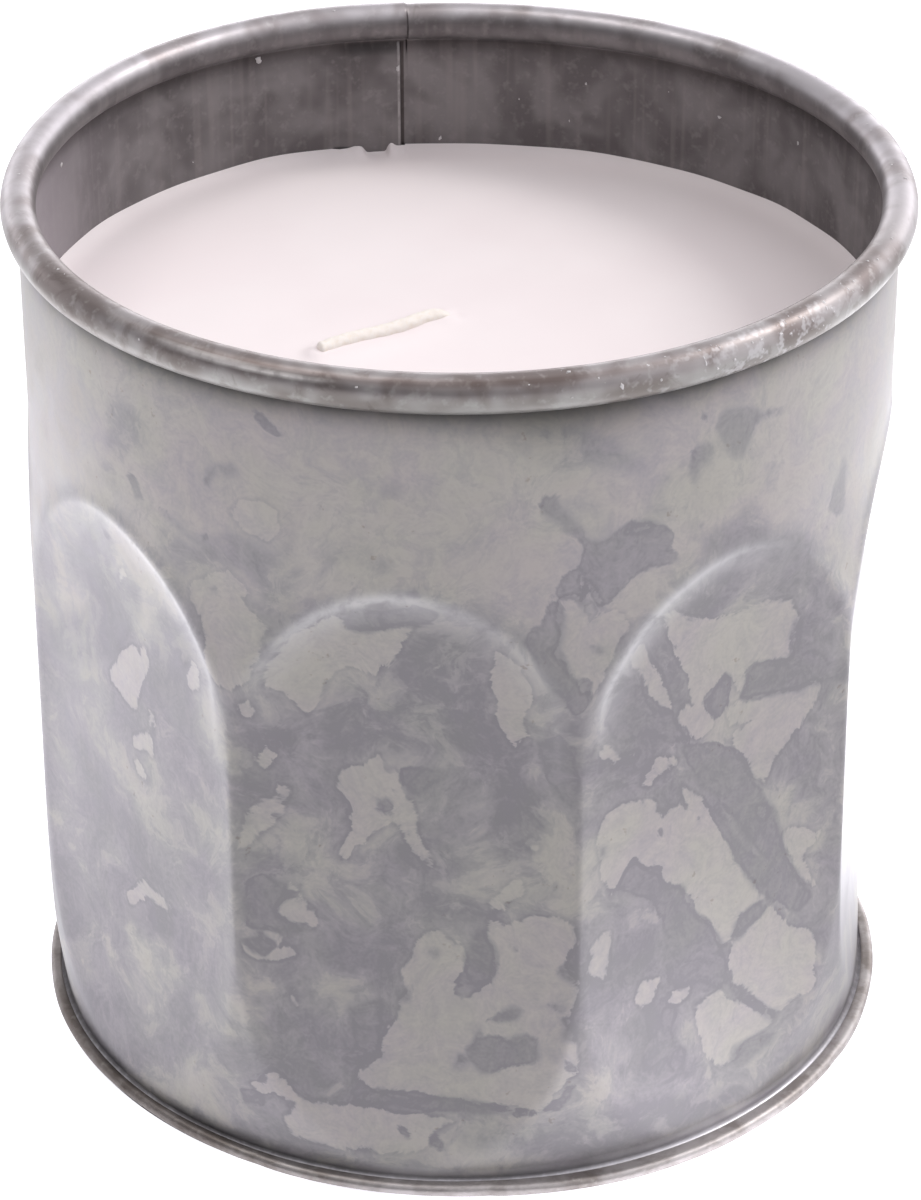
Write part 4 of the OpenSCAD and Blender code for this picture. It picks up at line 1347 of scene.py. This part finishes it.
def tin_mat():
    T = Tree("bright_tinplate")
    a = T.noise(300, 4, 0.6)
    b = T.noise(1500, 3, 0.6, T.scale_co(1, 0.1, 1))
    col = T.mix(T.ramp(a, 0.35, 0.7), (0.56, 0.56, 0.54), (0.68, 0.68, 0.66))
    return T.set(Base_Color=col, Roughness=T.math("ADD", 0.2, T.math("MULTIPLY", b, 0.2)), Metallic=0.95, Normal=T.bump(b, 0.15, 0.00004))


def speck_mat():
    T = Tree("wax_crumb")
    a = T.noise(900, 4, 0.6)
    col = T.mix(T.ramp(a, 0.35, 0.7), (0.50, 0.48, 0.48), (0.68, 0.65, 0.66))
    return T.set(Base_Color=col, Roughness=T.math("ADD", 0.5, T.math("MULTIPLY", a, 0.2)), Normal=T.bump(a, 0.3, 0.00005))


for ob, mat in ((wall, zinc_wall()), (base, zinc_base()), (wax, wax_mat()), (wick, wick_mat()), (tab_ob, tin_mat()), (specks, speck_mat())):
    ob.data.materials.append(mat)

# ------------------------------------------------------------------ the imported parts that these meshes replace are hidden; all new meshes hang from the root body
for ob, node, slot in ((wall, "wall", "zinc_wall"), (base, "base", "zinc_base"), (wax, "wax", "wax"), (wick, "wick", "wick_cotton"), (tab_ob, "wick_sustainer", "tinplate")):
    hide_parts(node)
    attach(ob, "root")
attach(specks, "root")

# ------------------------------------------------------------------ floor
fx = np.linspace(-4, 4, 33)
fv = np.array([(x * 1000, y * 1000, -0.02) for y in fx for x in fx])
ff = [[j * 33 + i, j * 33 + i + 1, (j + 1) * 33 + i + 1, (j + 1) * 33 + i] for j in range(32) for i in range(32)]
floor = mesh_object("floor", fv, ff)
T = Tree("pale_floor")
T.mat.cycles.emission_sampling = "NONE"


def spot(x, y, outer_r, inner_r, amount):
    n = T.t.nodes.new("ShaderNodeVectorMath")
    n.operation = "DISTANCE"
    T.put(n.inputs[0], T.co)
    n.inputs[1].default_value = (x, y, 0.0)
    return T.ramp(n.outputs["Value"], outer_r, inner_r, 0.0, amount)


# the floor glows: painted light, uneven, brighter in spots round the pot and dimmer in a few
floor_glow = T.math("ADD", spot(0, 0, 0.34, 0.17, 0.34), 0.30)
for at in ((-0.092, -0.005, 0.080, 0.015, 0.72), (-0.120, 0.055, 0.090, 0.020, 1.25), (0.080, 0.075, 0.085, 0.025, 1.6), (0.170, 0.015, 0.080, 0.020, 0.45),
           (0.057, 0.036, 0.040, 0.012, 1.7), (0.115, -0.055, 0.060, 0.020, -0.25), (0.046, -0.042, 0.030, 0.008, 0.7), (0.027, -0.050, 0.026, 0.008, 0.8),
           (0.0, -0.0465, 0.012, 0.003, 0.35), (-0.025, -0.045, 0.022, 0.006, 0.4), (-0.060, -0.042, 0.030, 0.010, 0.55), (-0.010, -0.110, 0.085, 0.020, -0.33), (0.050, -0.112, 0.045, 0.015, -0.15)):
    floor_glow = T.math("ADD", floor_glow, spot(*at))
floor.data.materials.append(T.set(Base_Color=T.mix(T.noise(3, 0), (0.72, 0.72, 0.725), (0.74, 0.74, 0.74)), Roughness=0.75, Specular_IOR_Level=0.2, Emission_Color=(0.98, 0.975, 1.035), Emission_Strength=floor_glow))

# ------------------------------------------------------------------ light: a soft white tent, brightest on the right, dim low on the camera's side
world = bpy.data.worlds.new("studio")
SCN.world = world
world.use_nodes = True
wt = world.node_tree
wt.nodes.clear()
W = Tree.__new__(Tree)
W.t = wt
wo = wt.nodes.new("ShaderNodeOutputWorld")
bg = wt.nodes.new("ShaderNodeBackground")
wt.links.new(bg.outputs[0], wo.inputs[0])
gen = wt.nodes.new("ShaderNodeTexCoord").outputs["Generated"]


def toward(x, y, z):
    n = wt.nodes.new("ShaderNodeVectorMath")
    n.operation = "DOT_PRODUCT"
    wt.links.new(gen, n.inputs[0])
    L = math.sqrt(x * x + y * y + z * z)
    n.inputs[1].default_value = (x / L, y / L, z / L)
    return n.outputs["Value"]


up_z = toward(0, 0, 1)
level = W.math("MULTIPLY_ADD", toward(1, 0, 0), 0.72, 1.12)
dim = W.math("MULTIPLY", W.ramp(toward(0.05, -0.97, 0.20), 0.28, 0.90), W.ramp(up_z, 0.20, 0.80, 0.95, 0.10))
level = W.math("SUBTRACT", level, dim)
low_back = W.math("MULTIPLY", W.ramp(toward(-0.10, 0.99, 0.15), 0.15, 0.85), W.ramp(up_z, 0.12, 0.50, 2.6, 0.0))
level = W.math("ADD", level, low_back)
level = W.math("MULTIPLY", W.math("MAXIMUM", level, 0.0), 0.78)
ray = wt.nodes.new("ShaderNodeLightPath").outputs["Is Camera Ray"]
level = W.mixf(ray, level, 1.0)
wt.links.new(level, bg.inputs["Strength"])
tint = wt.nodes.new("ShaderNodeMix")
tint.data_type = "RGBA"
W.put(tint.inputs[0], ray)
W.put(tint.inputs[6], (0.99, 0.985, 1.02))
W.put(tint.inputs[7], (1.0, 1.0, 1.0))
wt.links.new(tint.outputs[2], bg.inputs["Color"])


def area(name, at, aim, size, power, colour=(1.0, 0.985, 0.965)):
    d = bpy.data.lights.new(name, "AREA")
    d.shape, d.size, d.size_y, d.energy, d.color = "RECTANGLE", size[0], size[1], power, colour
    o = bpy.data.objects.new(name, d)
    o.location = at
    o.rotation_mode = "QUATERNION"
    o.rotation_quaternion = (Vector(aim) - Vector(at)).to_track_quat("-Z", "Y")
    o.visible_camera = False
    SCN.collection.objects.link(o)
    return o


# two softboxes overhead with a gap between them
area("top_left", (-0.42, -0.02, 1.15), (0, 0, 0.07), (0.35, 0.6), 2.5)
area("top_right", (0.77, 0.16, 0.82), (0, 0, 0.07), (0.28, 0.36), 3.4)

SCN.view_settings.view_transform = "Standard"
SCN.view_settings.look = "None"
SCN.view_settings.exposure = 0.0
SCN.view_settings.gamma = 1.0
